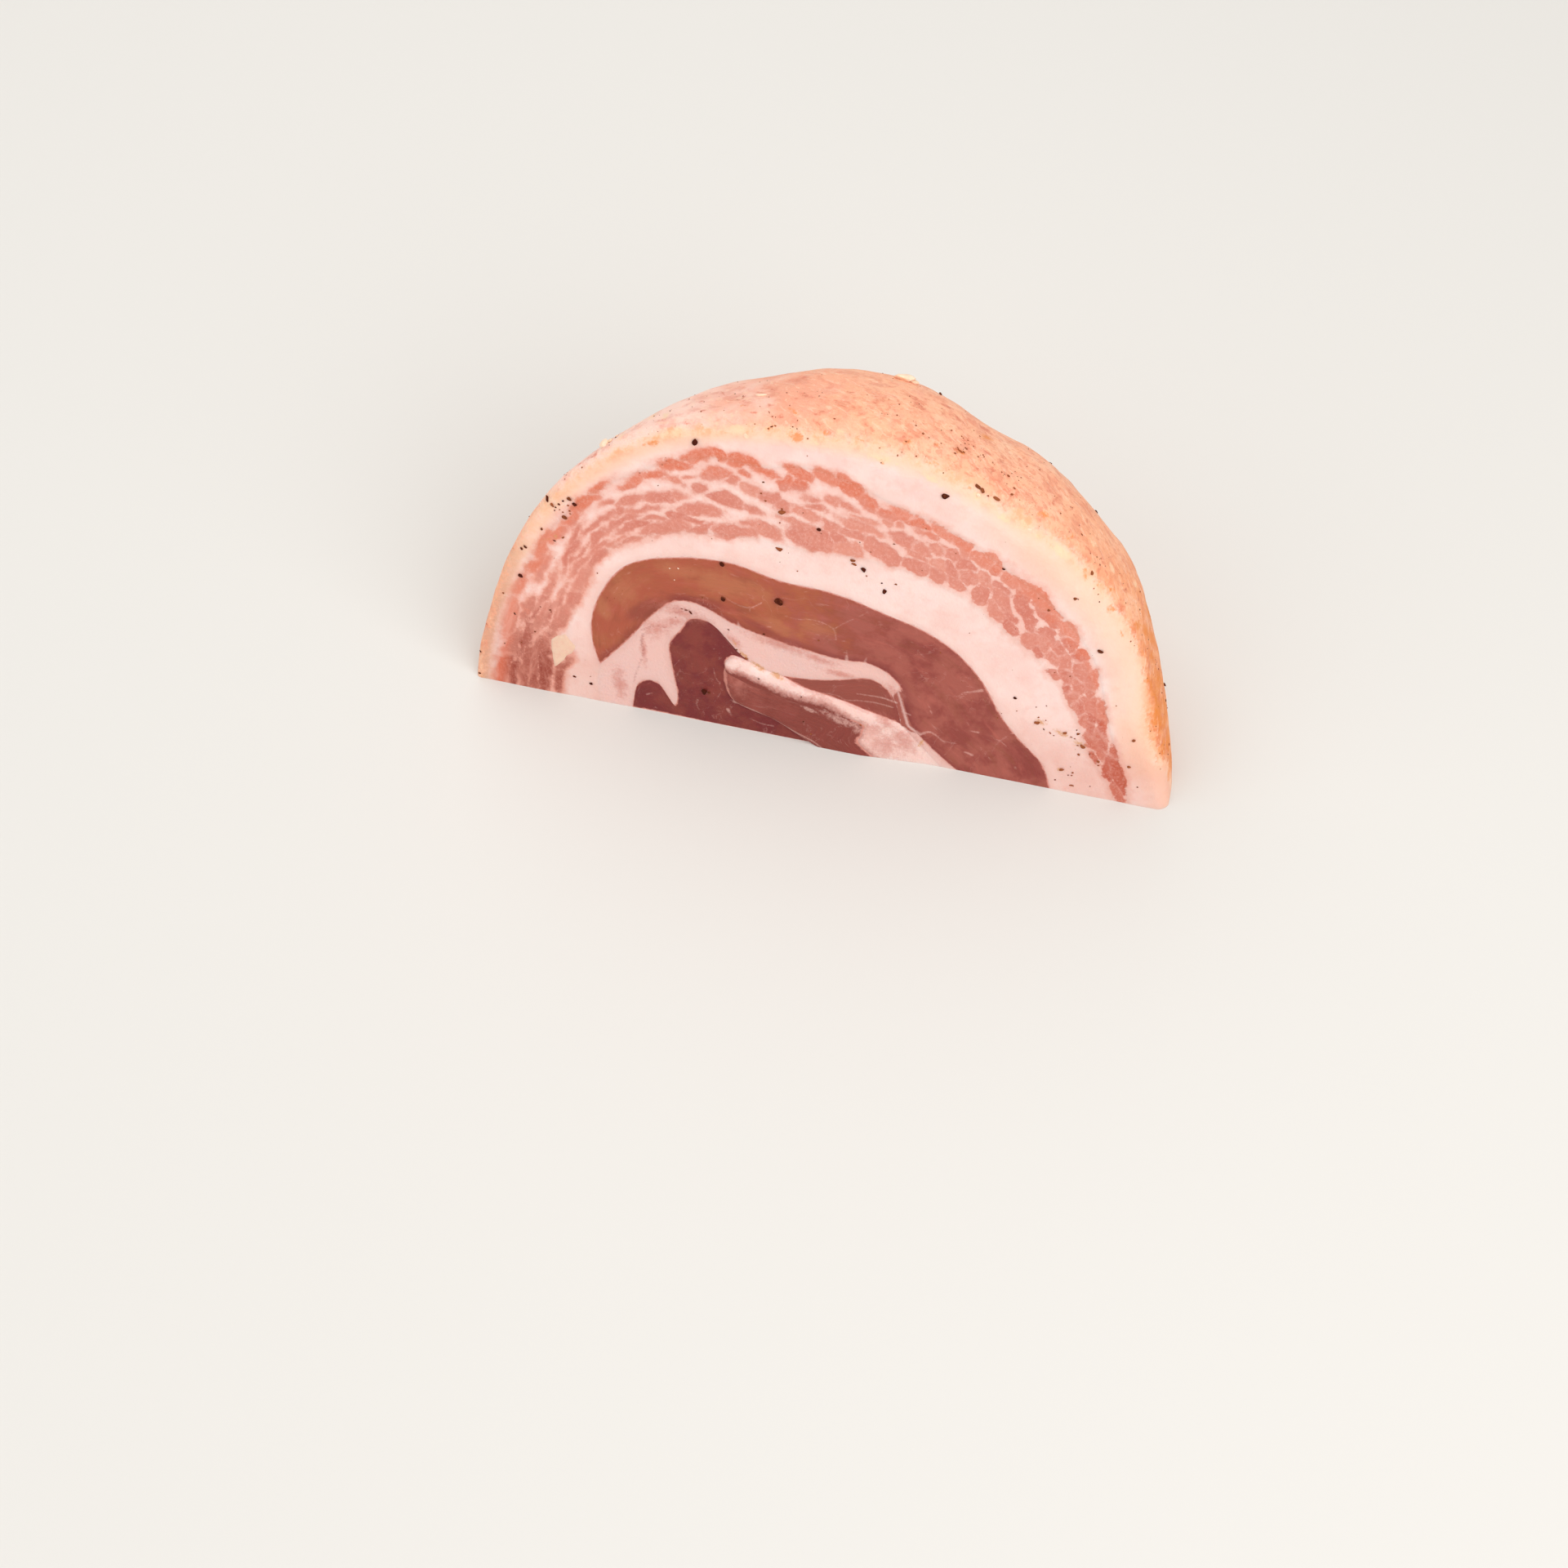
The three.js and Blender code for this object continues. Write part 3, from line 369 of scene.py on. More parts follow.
# Grains of pepper on the face and the front of the skin: place across, up and out, half length, half width,
# turn in degrees, and how brown the grain is
PEPPER = (
    (-58.8, 50.2, -0.2, 0.78, 0.43, 60, 0.3), (-57.7, 49.4, 0.1, 0.65, 0.43, 48, 1),
    (-54.1, 51.6, 0.1, 0.57, 0.48, 0, 0.5), (-53, 50.4, 0, 0.57, 0.43, 20, 0.1),
    (-55, 46.9, 0, 0.7, 0.52, 10, 0.6), (-55.5, 50.8, 0.1, 0.31, 0.26, 9, 0.2),
    (-56.3, 49.8, 0.1, 0.32, 0.24, 42, 0.4), (-57, 48.8, 0, 0.22, 0.17, 0, 0),
    (-57.2, 48, 0, 0.17, 0.17, 0, 0), (-56.2, 48.4, 0, 0.17, 0.14, 0, 0.8),
    (-55.5, 47.9, 0, 0.22, 0.17, 0, 0.7), (-54.4, 49.8, 0, 0.26, 0.22, 0, 1),
    (-54.1, 48.5, 0, 0.26, 0.17, 0, 0.8), (-53.9, 47.8, 0, 0.22, 0.17, 0, 1),
    (-60, 42.9, 0.1, 0.39, 0.26, 70, 0.5), (-63.5, 37.7, 0.2, 0.47, 0.31, 38, 0.4),
    (-64.3, 37, 0.1, 0.4, 0.31, 73, 0.3), (-57.3, 40.5, 0.1, 0.35, 0.17, 10, 0),
    (-55.5, 41.6, 0.1, 0.42, 0.21, -50, 1), (-64.7, 30, 0.1, 0.65, 0.39, 15, 0),
    (-68.5, 24.4, 0, 0.26, 0.22, 0, 1), (-66.1, 19.4, -0.1, 0.35, 0.17, 60, 0),
    (-58.3, 22.4, 0.1, 0.26, 0.19, 0, 0.4), (-58.1, 21.9, 0.1, 0.17, 0.14, 0, 0.8),
    (-60.4, 22.7, 0.1, 0.17, 0.14, 0, 0.5), (-61.7, 15.7, 0, 0.23, 0.19, 0, 0.5),
    (-74, 7.1, -0.3, 0.39, 0.19, 10, 0), (-74.4, 1.1, -0.2, 0.39, 0.21, 0, 0.3),
    (-68.5, 10.8, -0.1, 0.19, 0.16, 0, 0.4), (-53.1, 5.3, -0.1, 0.42, 0.26, 15, 0.3),
    (-49.4, 4.3, -0.1, 0.43, 0.31, 0, 0), (-72.5, 14.8, -0.4, 0.17, 0.14, 0, 1),
    (-28.8, 70.5, 0, 0.78, 0.65, 80, 0), (-14.1, 75.7, -1.4, 0.35, 0.17, -20, 0.5),
    (-14.7, 75.4, -1.1, 0.22, 0.16, 0, 1), (-13.5, 75.8, -1.6, 0.22, 0.16, 0, 0.8),
    (-6.9, 75, -0.8, 0.23, 0.19, 0, 1), (-10.1, 76.2, -1.7, 0.17, 0.14, 0, 0.6),
    (-14.8, 63.9, 0, 0.26, 0.21, 0, 0.5), (-15.1, 61.2, 0, 0.26, 0.17, 0, 1),
    (-14.1, 59.6, 0, 0.26, 0.17, 0, 0.8), (-10.7, 57.7, 0.1, 0.9, 0.48, -12, 1),
    (-10.7, 58.5, 0.1, 0.35, 0.22, 90, 1), (20.9, 68.2, -0.1, 0.83, 0.65, 10, 0.2),
    (14.4, 75.1, -6.9, 0.28, 0.23, 0, 1), (10.7, 74.3, -1.3, 0.26, 0.16, 80, 1),
    (7.8, 73, -0.2, 0.17, 0.14, 0, 1), (7.1, 75.2, -1.4, 0.17, 0.14, 0, 1),
    (-2.6, 77.3, -4.3, 0.26, 0.19, 0, 1), (-21.9, 73.1, -10.5, 0.23, 0.17, 0, 0.7),
    (-23.9, 71.8, -12.3, 0.17, 0.14, 0, 0.3), (14.6, 65.6, -28.4, 0.64, 0.43, 74, 0.4),
    (14.5, 65.6, -28.4, 0.26, 0.17, 0, 1), (26.6, 69.2, -2.7, 0.7, 0.43, 45, 0.6),
    (27.5, 68.6, -2.6, 0.61, 0.42, 45, 0.7), (30.5, 67.2, -2.7, 0.78, 0.35, 15, 1),
    (28.8, 67.8, -2.4, 0.26, 0.17, 0, 1), (31.7, 67, -9.1, 0.37, 0.28, 20, 1),
    (33.3, 66.7, -6.6, 0.33, 0.26, 0, 0.9), (33.1, 66.8, -4.8, 0.33, 0.28, 0, 1),
    (30.9, 67.5, -8.8, 0.17, 0.14, 0, 0.9), (21.9, 72, -7.6, 0.7, 0.22, 10, 1),
    (21.1, 72.7, -6.1, 0.28, 0.21, 0, 1), (22.5, 71.6, -7.9, 0.3, 0.21, 0, 1),
    (21.3, 72.1, -8.2, 0.28, 0.17, 0, 1), (22.9, 70.9, -9.6, 0.19, 0.17, 0, 1),
    (24.4, 67.2, -17.6, 0.19, 0.16, 0, 0.8), (25.3, 70.1, -9.1, 0.21, 0.16, 0, 0.8),
    (11.7, 75.7, -3.6, 0.26, 0.17, 0, 1), (47.6, 57.2, -8.3, 0.3, 0.19, 40, 1),
    (50.9, 53.5, -3.2, 0.47, 0.37, 69, 1), (48.7, 49.7, 0, 0.43, 0.35, 0, 0.6),
    (49.3, 49.7, -0.1, 0.17, 0.14, 0, 0.5), (53.4, 48.7, -1.4, 0.19, 0.16, 0, 0),
    (34, 53.7, -0.1, 0.37, 0.28, 0, 0), (44, 45.8, -0.1, 0.31, 0.26, 0, 0.7),
    (24.3, 55.3, -0.1, 0.17, 0.14, 0, 1), (55.4, 38.2, 0, 0.7, 0.43, 10, 0.4),
    (40.2, 22.4, 0.1, 0.45, 0.33, 14, 0.1), (41, 19.1, 0.1, 0.17, 0.12, 0, 0.9),
    (44.8, 21, 0, 0.16, 0.14, 0, 0.7), (46.8, 21.8, 0, 0.16, 0.14, 0, 0.6),
    (45.5, 17.1, 0.1, 0.61, 0.35, 0, 0.9), (45.6, 18.5, 0, 0.21, 0.17, 0, 1),
    (47.2, 18, 0, 0.16, 0.14, 0, 0.8), (47.1, 15.6, 0, 0.3, 0.12, 60, 0.4),
    (48.5, 14.9, 0, 0.37, 0.14, 50, 1), (51.5, 15.7, 0, 0.43, 0.35, 0, 1),
    (54.2, 16, -0.1, 0.37, 0.31, 0, 0.7), (53.7, 16.9, -0.1, 0.19, 0.16, 0, 0.6),
    (52.9, 14.8, -0.1, 0.28, 0.14, 20, 0.6), (53.6, 14.5, -0.1, 0.28, 0.14, 20, 0.9),
    (55.5, 12.8, -0.2, 0.7, 0.4, 25, 1), (54.5, 12.8, -0.2, 0.26, 0.17, 0, 0.8),
    (57.2, 11.2, -0.2, 0.3, 0.14, 60, 1), (55.1, 10.4, -0.2, 0.42, 0.26, 50, 1),
    (52.1, 5.7, -0.1, 0.61, 0.43, 0, 1), (54.5, 5.4, -0.1, 0.24, 0.21, 0, 0.8),
    (54.4, 4.6, -0.1, 0.21, 0.17, 0, 1), (53.7, 4.5, -0.1, 0.16, 0.14, 0, 0.5),
    (51.2, 2.6, -0.1, 0.23, 0.19, 0, 0.6), (54.8, 2, 0, 0.57, 0.21, 0, 1), (59.2, 9.7, -0.1, 0.38, 0.3, 0, 1),
    (59.4, 8.7, -0.1, 0.24, 0.17, 0, 1), (65.4, 17.1, -0.1, 0.42, 0.37, 0, 0.8),
    (65.7, 9.9, -0.1, 0.48, 0.35, 0, 1), (60.6, 25.1, -0.1, 0.16, 0.14, 0, 0.8),
    (68.2, 4.9, -0.1, 0.21, 0.17, 0, 0.7), (58.6, 2.7, 0, 0.16, 0.14, 0, 0.4),
    (72.8, 9.9, -7.5, 0.35, 0.17, 60, 0.7), (70.4, 16, -12.5, 0.39, 0.17, 70, 0),
    (69.2, 19.2, -2.6, 0.17, 0.14, 0, 0.5), (71, 12.8, -2.2, 0.16, 0.14, 0, 1),
    (11.2, 43.2, 0.1, 0.66, 0.52, 77, 0.2), (10.5, 45, 0.1, 0.21, 0.17, 0, 0),
    (13.3, 45.4, 0.1, 0.31, 0.19, 0, 0.7), (-21.6, 33.7, 0, 0.61, 0.5, 45, 0.2),
    (-10, 35.7, -0.1, 1.09, 0.7, 36, 0.2), (-24.4, 8.4, 0.1, 0.84, 0.63, 59, 0),
    (-23.5, 8.3, 0.1, 0.35, 0.26, 0, 0.5), (-20.1, 25.8, -0.1, 0.28, 0.17, 20, 0.2),
    (-12.7, 26.3, -0.2, 0.28, 0.23, 0, 0.3), (-1.2, 27.7, 0.1, 0.3, 0.24, 0, 0.9),
    (-16, 19.1, -0.1, 0.4, 0.28, 29, 1), (-17.4, 20.1, -0.1, 0.21, 0.16, 0, 1),
    (-18.2, 21, -0.2, 0.28, 0.14, 40, 0.7), (-12.9, 15.5, 0.9, 0.28, 0.14, 0, 0),
    (-3.6, 12.9, 1, 0.21, 0.19, 0, 0.5), (-0.9, 3.3, 1, 0.23, 0.19, 0, 1), (-2.7, 6.3, 1, 0.21, 0.17, 0, 0.3),
    (9.4, 8.3, 0.9, 0.3, 0.23, 0, 0.9), (-29.2, 29, 0.1, 0.43, 0.14, 0, 0.4),
    (-28.3, 28.6, 0, 0.57, 0.23, 49, 0.2), (-30.1, 29.2, 0.1, 0.26, 0.12, 0, 0.6),
    (4.3, 49.2, 0, 0.63, 0.37, 17, 0.7), (-22.2, 42.4, 0, 0.63, 0.52, 72, 0),
    (-10.7, 48.7, 0, 0.87, 0.43, 7, 0.8), (-3, 55.2, 0.1, 0.52, 0.33, 5, 0.1),
    (6.6, 47.3, 0, 0.71, 0.56, 39, 0), (4.6, 48.3, 0, 0.61, 0.31, 10, 1), (7.3, 46, 0, 0.21, 0.17, 0, 1),
    (5.3, 53.8, 0, 0.17, 0.14, 0, 0.3), (7.6, 52, 0, 0.17, 0.14, 0, 1), (12.1, 54.9, 0, 0.26, 0.17, 0, 0.7),
    (-46.6, 60.6, -8.7, 0.23, 0.19, 0, 0.2), (-46.2, 62.5, -5.9, 0.23, 0.17, 0, 0.3),
)
# Crumbs of fat: place across, up and out, half length, half width and turn in degrees
CRUMBS = (
    (7, 67.9, -28, 2.3, 1.6, 8), (9, 67.4, -28.1, 1, 0.9, 10), (27.1, 68.1, -1.8, 0.6, 0.4, 10),
    (37.8, 62.4, -1.6, 0.6, 0.35, 10), (-18, 74.4, -10.3, 1.4, 0.35, -8), (-48.2, 62.2, -4.4, 1.3, 1.2, 30),
    (-47.4, 62.6, -5.2, 0.9, 0.7, 30), (-46.2, 61.9, -6.9, 0.5, 0.35, 20), (-18.7, 73.6, -0.2, 0.7, 0.5, 10),
    (-33, 38.8, 0, 0.2, 0.14, 0), (-31.2, 39.2, 0, 0.24, 0.16, 20), (-31.9, 36.1, 0, 0.16, 0.12, 0),
)
# Corners of the flat flake of fat that lies low on the left of the face
FLAKE_CORNERS = ((-58.3, 14.6), (-55.2, 16.8), (-52.3, 13.6), (-57.7, 6.2))
# Gatherings of fine specks on the skin: angle, distance past the worn edge, their spreads, and the number
SPECK_GATHERINGS = (
    (68, 9, 2.6, 2.6, 16), (73.6, 10.6, 0.9, 1, 8), (100, 12, 4, 4, 8), (64, 9, 1.2, 2, 7),
    (87, 8, 5, 3.4, 12), (80, 9, 5, 4, 14), (47, 6.5, 1.6, 1.2, 8), (40, 8.4, 4, 2, 10), (55, 11, 5, 4, 16),
    (100.8, 3.5, 0.8, 0.4, 6), (25, 10, 6, 4, 10), (14, 9, 5, 4, 8), (110, 9, 6, 4, 10), (130, 8, 8, 5, 10),
    (150, 9, 10, 6, 14), (165, 8, 7, 5, 10), (77, 1.6, 8, 1.6, 6), (104, 0, 6, 2, 4),
)

# Pepper and flakes of fat further back on the skin, placed by the same draws as in the solids
GRAIN_SEED = 71
GRAIN_RADIUS = (0.5, 1)
GRAIN_WIDTH = (0.7, 1)
GRAIN_LIFT = 0.1
SKIN_ANGLES = (14, 166)
SKIN_BACKS = (0.08, 0.88)
SKIN_GATHER = 1.4
SMALL_GATHER = 2
SKIN_GRAINS = 46
SKIN_FLAKES = 5
FLAKE_HALF_SIZE = (1.7, 1.1)
SEEN_SIZE = 0.68
BROWNEST = 0.6
FRONT_BACK = 0.42
FRONT_ANGLES = (16, 128)
DRAW_FACTOR = 16807
DRAW_RANGE = 2147483647

# Seeds of the specks' places and the cracks in grains and crumbs, and the pieces that all of them lie on
PEPPER_SEED = 9
CRUMB_SEED = 4
CARRIERS = ("skin_and_fat", *LAYER_STEPS)


def linear(red, green, blue):
    """A screen colour of 0 to 255 as the linear colour that Blender's colour properties hold."""
    shares = (value / 255 for value in (red, green, blue))
    return tuple(v / 12.92 if v <= 0.04045 else ((v + 0.055) / 1.055) ** 2.4 for v in shares)


def colour(name, description, *screen):
    """A colour property whose default is given as a screen colour."""
    return bpy.props.FloatVectorProperty(
        name=name, description=description, default=linear(*screen), subtype="COLOR", min=0, max=1, size=3
    )


def length(name, description, millimetres):
    """A length property whose default is given in millimetres."""
    return bpy.props.FloatProperty(
        name=name, description=description, default=millimetres * MM, min=0, unit="LENGTH",
        subtype="DISTANCE",
    )


def power(name, description, watts):
    """A property for a light's power."""
    return bpy.props.FloatProperty(name=name, description=description, default=watts, unit="POWER")


class PancettaSizes(bpy.types.PropertyGroup):
    """Sizes of the fine relief."""

    face_relief: length("Face relief", "Height of the waves that the knife left in the cut face", 0.25)
    skin_relief: length("Skin relief", "Depth of the dimples in the skin", 0.9)
    speck_size: length("Speck size", "Radius of the finest pepper", 0.22)
    speck_count: bpy.props.IntProperty(
        name="Specks", description="Number of fine specks of pepper on the skin and the face", default=240,
        min=0,
    )


class PancettaColours(bpy.types.PropertyGroup):
    """Colours of fat, lean and pepper."""

    fat_white: colour("White fat", "The whitest fat", 247, 217, 209)
    fat_pink: colour("Pink fat", "Fat of the hook and the arm", 232, 191, 183)
    fat_rose: colour("Rose fat", "Fat tinged by the lean beside it", 238, 188, 176)
    fat_blush: colour("Blush", "Where fat and lean run into one another", 214, 140, 126)
    fat_crease: colour("Crumpled fat", "Greyish rose fat where it is crumpled or thin", 206, 130, 116)
    fat_cream: colour("Cream fat", "Fat near the skin", 249, 199, 166)
    fat_butter: colour("Butter fat", "Yellowish patches of fat near the skin", 250, 210, 172)
    fat_veil: colour("Veiled fat", "Fat between the islands of lean", 232, 160, 140)
    fat_left: colour("Left rim", "Fat and skin low on the left", 220, 163, 136)
    skin_peach: colour("Peach skin", "The skin's main colour", 251, 185, 149)
    skin_glow: colour("Bright skin", "Paler wrinkles of the skin", 252, 208, 178)
    # Painted highlight: this pale colour stands for glare on the skin at the top left
    skin_painted_glare: colour("Painted glare", "Painted highlight on the skin at the top left", 255, 216, 202)
    skin_rose: colour("Rose skin", "Rosy skin at the top and in patches", 238, 160, 136)
    skin_orange: colour("Orange skin", "Cured patches low on the skin", 231, 135, 60)
    skin_stroke: colour("Skin strokes", "Fine rosy wrinkles of the skin", 213, 109, 83)
    skin_red: colour("Red skin", "Streaks of lean and spice on the skin", 204, 98, 72)
    lean_salmon: colour("Salmon lean", "The outer rows of the marbled lean", 220, 120, 91)
    lean_pink: colour("Pink lean", "The inner rows of the marbled lean", 208, 121, 103)
    lean_brick: colour("Brick lean", "Marbled lean low on the right", 192, 84, 58)
    lean_heather: colour("Heather lean", "Marbled lean low on the left", 150, 62, 46)
    lean_tan: colour("Tan lean", "Lean on the left and top of the inner band", 172, 84, 60)
    lean_olive: colour("Olive lean", "Browner clouds in the tan lean", 170, 92, 60)
    lean_sand: colour("Sandy lean", "Paler patches in the tan lean", 186, 112, 78)
    lean_mauve: colour("Mauve lean", "Lean on the right of the inner band", 164, 86, 74)
    lean_plum: colour("Plum lean", "Darker clouds in the mauve lean", 136, 56, 50)
    lean_wine: colour("Wine lean", "The dark lean in the core", 117, 38, 39)
    lean_umber: colour("Umber lean", "Browner clouds in the core", 137, 61, 49)
    lean_lens: colour("Lens lean", "The lens of lean above the flap", 148, 73, 61)
    lean_flap: colour("Flap lean", "The lean of the loose flap", 134, 60, 50)
    thread_dark: colour("Dark thread", "Dark threads in the fat", 176, 110, 104)
    # Painted shade: fat and lean low on the face are multiplied by this colour, darker towards the base
    painted_shade: colour("Painted foot shade", "What the damp multiplies fat and lean by, low on the face", 243, 230, 226)
    stain: colour("Stain", "Stains where pepper has lain in the fat", 212, 150, 98)
    fat_crumb: colour("Fat crumbs", "Crumbs of fat on the skin", 252, 220, 190)
    fat_flake: colour("Fat flake", "The flat flake of fat on the face", 240, 200, 174)
    pepper: colour("Pepper", "Husk of cracked black pepper", 72, 22, 6)
    pepper_heart: colour("Pepper heart", "Brown broken faces of the pepper", 152, 84, 50)


class PancettaStage(bpy.types.PropertyGroup):
    """The camera, the lights and the floor."""

    lens: bpy.props.FloatProperty(name="Lens", description="Focal length", default=54.375, unit="CAMERA")
    key_power: power("Key light", "Power of the key light", 6.9)
    fill_power: power("Fill light", "Power of the fill light", 2)
    top_power: power("Top light", "Power of the light above and behind", 3.2)
    floor: colour("Floor", "Colour of the plain floor", 216, 213, 208)


# Curves and surfaces of the roll


def reach(table):
    """Distance by angle in radians: a cubic through the table, whose slope at a row joins its neighbours."""
    angles, radii = np.array(table, float).T
    slopes = np.empty_like(radii)
    slopes[1:-1] = (radii[2:] - radii[:-2]) / (angles[2:] - angles[:-2])
    slopes[0] = 1.5 * (radii[1] - radii[0]) / (angles[1] - angles[0]) - slopes[1] / 2
    slopes[-1] = 1.5 * (radii[-1] - radii[-2]) / (angles[-1] - angles[-2]) - slopes[-2] / 2

    def at(angle):
        degrees = np.clip(np.degrees(angle), angles[0], angles[-1])
        i = np.clip(np.searchsorted(angles, degrees) - 1, 0, len(angles) - 2)
        span = angles[i + 1] - angles[i]
        t = (degrees - angles[i]) / span
        start = (1 + 2 * t) * (1 - t) ** 2 * radii[i] + t * (1 - t) ** 2 * span * slopes[i]
        return start + t**2 * (3 - 2 * t) * radii[i + 1] + t**2 * (t - 1) * span * slopes[i + 1]

    return at


rim_at, fat_inner_at, marbled_inner_at, middle_inner_at, swell_at, rim_round_at, skin_start_at = map(
    reach, (RIM, FAT_INNER, MARBLED_INNER, MIDDLE_FAT_INNER, SKIN_SWELL, RIM_ROUND, SKIN_START)
)


def spline(points, spacing=0.2):
    """A border as a fine line: uniform Catmull-Rom stretches through the points."""
    p = np.array(points, float)
    padded = np.vstack([p[:1], p, p[-1:]])
    steps = max(4, int(np.linalg.norm(np.diff(p, axis=0), axis=1).max() / spacing))
    t = np.linspace(0, 1, steps, endpoint=False)[None, :, None]
    a, b, c, d = (padded[i : i + len(p) - 1, None, :] for i in range(4))
    v, w = (c - a) / 2, (d - b) / 2
    curve = (2 * b - 2 * c + v + w) * t**3 + (3 * c - 3 * b - 2 * v - w) * t**2 + v * t + b
    return np.vstack([curve.reshape(-1, 2), p[-1:]])


def turned(radius, angle, out=0):
    """Places on the face, the radius times cosine and sine of the angle, moved out by a height."""
    across = radius * np.cos(angle)
    return np.stack([across, radius * np.sin(angle), out + 0 * across], axis=-1)


def ring(border, to=180, steps=900):
    """A ring border as a fine line from the right end round to an angle."""
    angle = np.radians(np.linspace(0, to, steps))
    return turned(border(angle), angle)[:, :2]


def shares(line):
    """Share of the line's length at each of its points."""
    run = np.r_[0, np.cumsum(np.linalg.norm(np.diff(line, axis=0), axis=1))]
    return run / run[-1]


def at_share(line, share):
    """Points of a fine line at shares of its length."""
    known = shares(line)
    return np.column_stack([np.interp(share, known, line[:, k]) for k in (0, 1)])


def share_near(line, point):
    """Share of the line's length at its point nearest to the given one."""
    return shares(line)[np.argmin(np.linalg.norm(line - np.array(point, float), axis=1))]


def chain(*lines):
    """Stretches of border that follow one another, joined end to end."""
    return np.vstack([lines[0]] + [line[1:] for line in lines[1:]])


def lean_rim():
    """Border between the middle fat and the inner lean, from the right end of the base to the hook's tip."""
    border = ring(middle_inner_at, MIDDLE_FAT_INNER[-1][0])
    return chain(border[:-4], np.array([HOOK_TIP, HOOK_TIP], float))


def end_share(back):
    """Share of the rim's reach left at a share of the way to the back: a superellipse."""
    return np.maximum(0, 1 - back**END_POWER) ** (1 / END_POWER)


def swelling(angle, back):
    """How far the end stands out from the superellipse: most half way back, and nothing at rim and pole."""
    return swell_at(angle) * 4 * back * (1 - back) * np.minimum(1, end_share(back) * 2)


def end_surface(border, depth, angle, back):
    """The rounded end: reach times share plus swell, turned by the angle, and pushed back by the depth."""
    radius = border(angle) * end_share(back) + swelling(angle, back)
    places = turned(radius, angle, -depth * back)
    places[..., 0] += POLE_SHIFT * back
    return places


def depth_under_skin(across, up):
    """Depth at which a straight run back meets the inside of the skin, found by repeated correction."""
    back = np.full_like(across, 0.5)
    for _ in range(CORRECTIONS):
        x = across - POLE_SHIFT * back
        angle = np.arctan2(up, x)
        share = np.clip((np.hypot(x, up) - swelling(angle, back)) / fat_inner_at(angle), 0, 1)
        back = 0.5 * back + 0.5 * end_share(share)
    return (ROLL_DEPTH - SKIN_DEPTH) * back


def wander(size, *axes, seed=0):
    """Smooth random values from -1 to 1: lattice values from a sine hash, blended by smoothsteps."""
    places = [np.asarray(axis, float) / size + HASH_SHIFT * (k + 1) + seed for k, axis in enumerate(axes)]
    cells = [np.floor(p) for p in places]
    blends = [(p - c) ** 2 * (3 - 2 * (p - c)) for p, c in zip(places, cells)]
    total = 0
    for corner in range(2 ** len(axes)):
        steps = [(corner >> k) & 1 for k in range(len(axes))]
        weight, phase = 1.0, 0.0
        for step, cell, blend, factor in zip(steps, cells, blends, HASH_FACTORS):
            weight = weight * (blend if step else 1 - blend)
            phase = phase + (cell + step) * factor
        total = total + weight * (np.sin(phase) * HASH_HEIGHT % 1)
    return 2 * total - 1


def face_wave(places):
    """Height of the cut face: two sizes of smooth random waves that do not know the layers' borders."""
    across, up = places[..., 0], places[..., 1]
    height = bpy.context.scene.pancetta_sizes.face_relief / MM
    return height * (0.7 * wander(13, across, up) + 0.3 * wander(4.5, across, up, seed=5))


# Notes for the materials, which each point of a mesh carries


def marbling(angle, share):
    """How far places in the marbled band lie inside their islands, and how far from the next ones.

    Places are first shifted by small smooth waves, so that the islands' outlines are irregular. An island
    reaches 1 minus the root of the sum of its scaled distances, raised to powers, times its half height. The
    first result is the greatest reach in millimetres, the second its lead over the second greatest, and the
    third a draw of the island that has it.
    """
    degrees = np.degrees(angle)
    thickness = fat_inner_at(angle) - marbled_inner_at(angle)
    place = (MM_PER_DEGREE * degrees, share * thickness)
    sideways = 1.1 * wander(3.6, *place, seed=11) + 0.6 * wander(1.7, *place, seed=12)
    inwards = 0.55 * wander(2.8, *place, seed=13) + 0.35 * wander(1.3, *place, seed=14)
    degrees = (degrees + sideways / MM_PER_DEGREE)[..., None]
    share = (share + inwards / thickness)[..., None]
    middle, depth, long, high, slope = np.array(ISLANDS).T
    along = (degrees - middle) / long
    over = (share - depth + slope * (degrees - middle)) / high
    reached = (1 - np.sqrt(np.abs(along) ** 2.4 + over**2)) * high * thickness[..., None]
    order = np.argpartition(reached, -2, axis=-1)[..., -2:]
    pair = np.take_along_axis(reached, order, axis=-1)
    best = np.take_along_axis(order, pair.argmax(axis=-1)[..., None], axis=-1)[..., 0]
    draw = np.sin(best * HASH_FACTORS[0]) * HASH_HEIGHT % 1
    return np.stack([pair.max(axis=-1), np.abs(pair[..., 0] - pair[..., 1]), draw], axis=-1)


def thread_reach(across, up, threads):
    """How far places lie inside the nearest thread: its half width there less the distance to its spline."""
    best = np.full(across.shape, -FAR)
    for points, first, last in threads:
        line = spline(points, 0.12)
        near = np.abs(across - line[:, 0].mean()) < np.ptp(line[:, 0]) / 2 + THREAD_MARGIN
        near &= np.abs(up - line[:, 1].mean()) < np.ptp(line[:, 1]) / 2 + THREAD_MARGIN
        gaps = np.hypot(across[near][:, None] - line[:, 0], up[near][:, None] - line[:, 1])
        half = first + (last - first) * shares(line)
        best[near] = np.maximum(best[near], (half - gaps).max(axis=-1))
    return best


def lean_gap(across, up):
    """Distance to the nearest border between fat and lean inside the white band, worked out in batches."""
    lines = [spline(line, 0.3) for line in (FOLD, TONGUE, LENS_TOP, LENS_BOTTOM, FLAP_UNDER, FLAP_NOSE)]
    border = np.vstack([lean_rim(), *lines])
    places = np.column_stack([across.ravel(), up.ravel()])
    gap = np.full(across.size, FAR)
    for start in range(0, len(places), BATCH):
        part = places[start : start + BATCH]
        gap[start : start + BATCH] = np.hypot(*(part[:, None] - border[None]).transpose(2, 0, 1)).min(axis=1)
    return gap.reshape(across.shape)


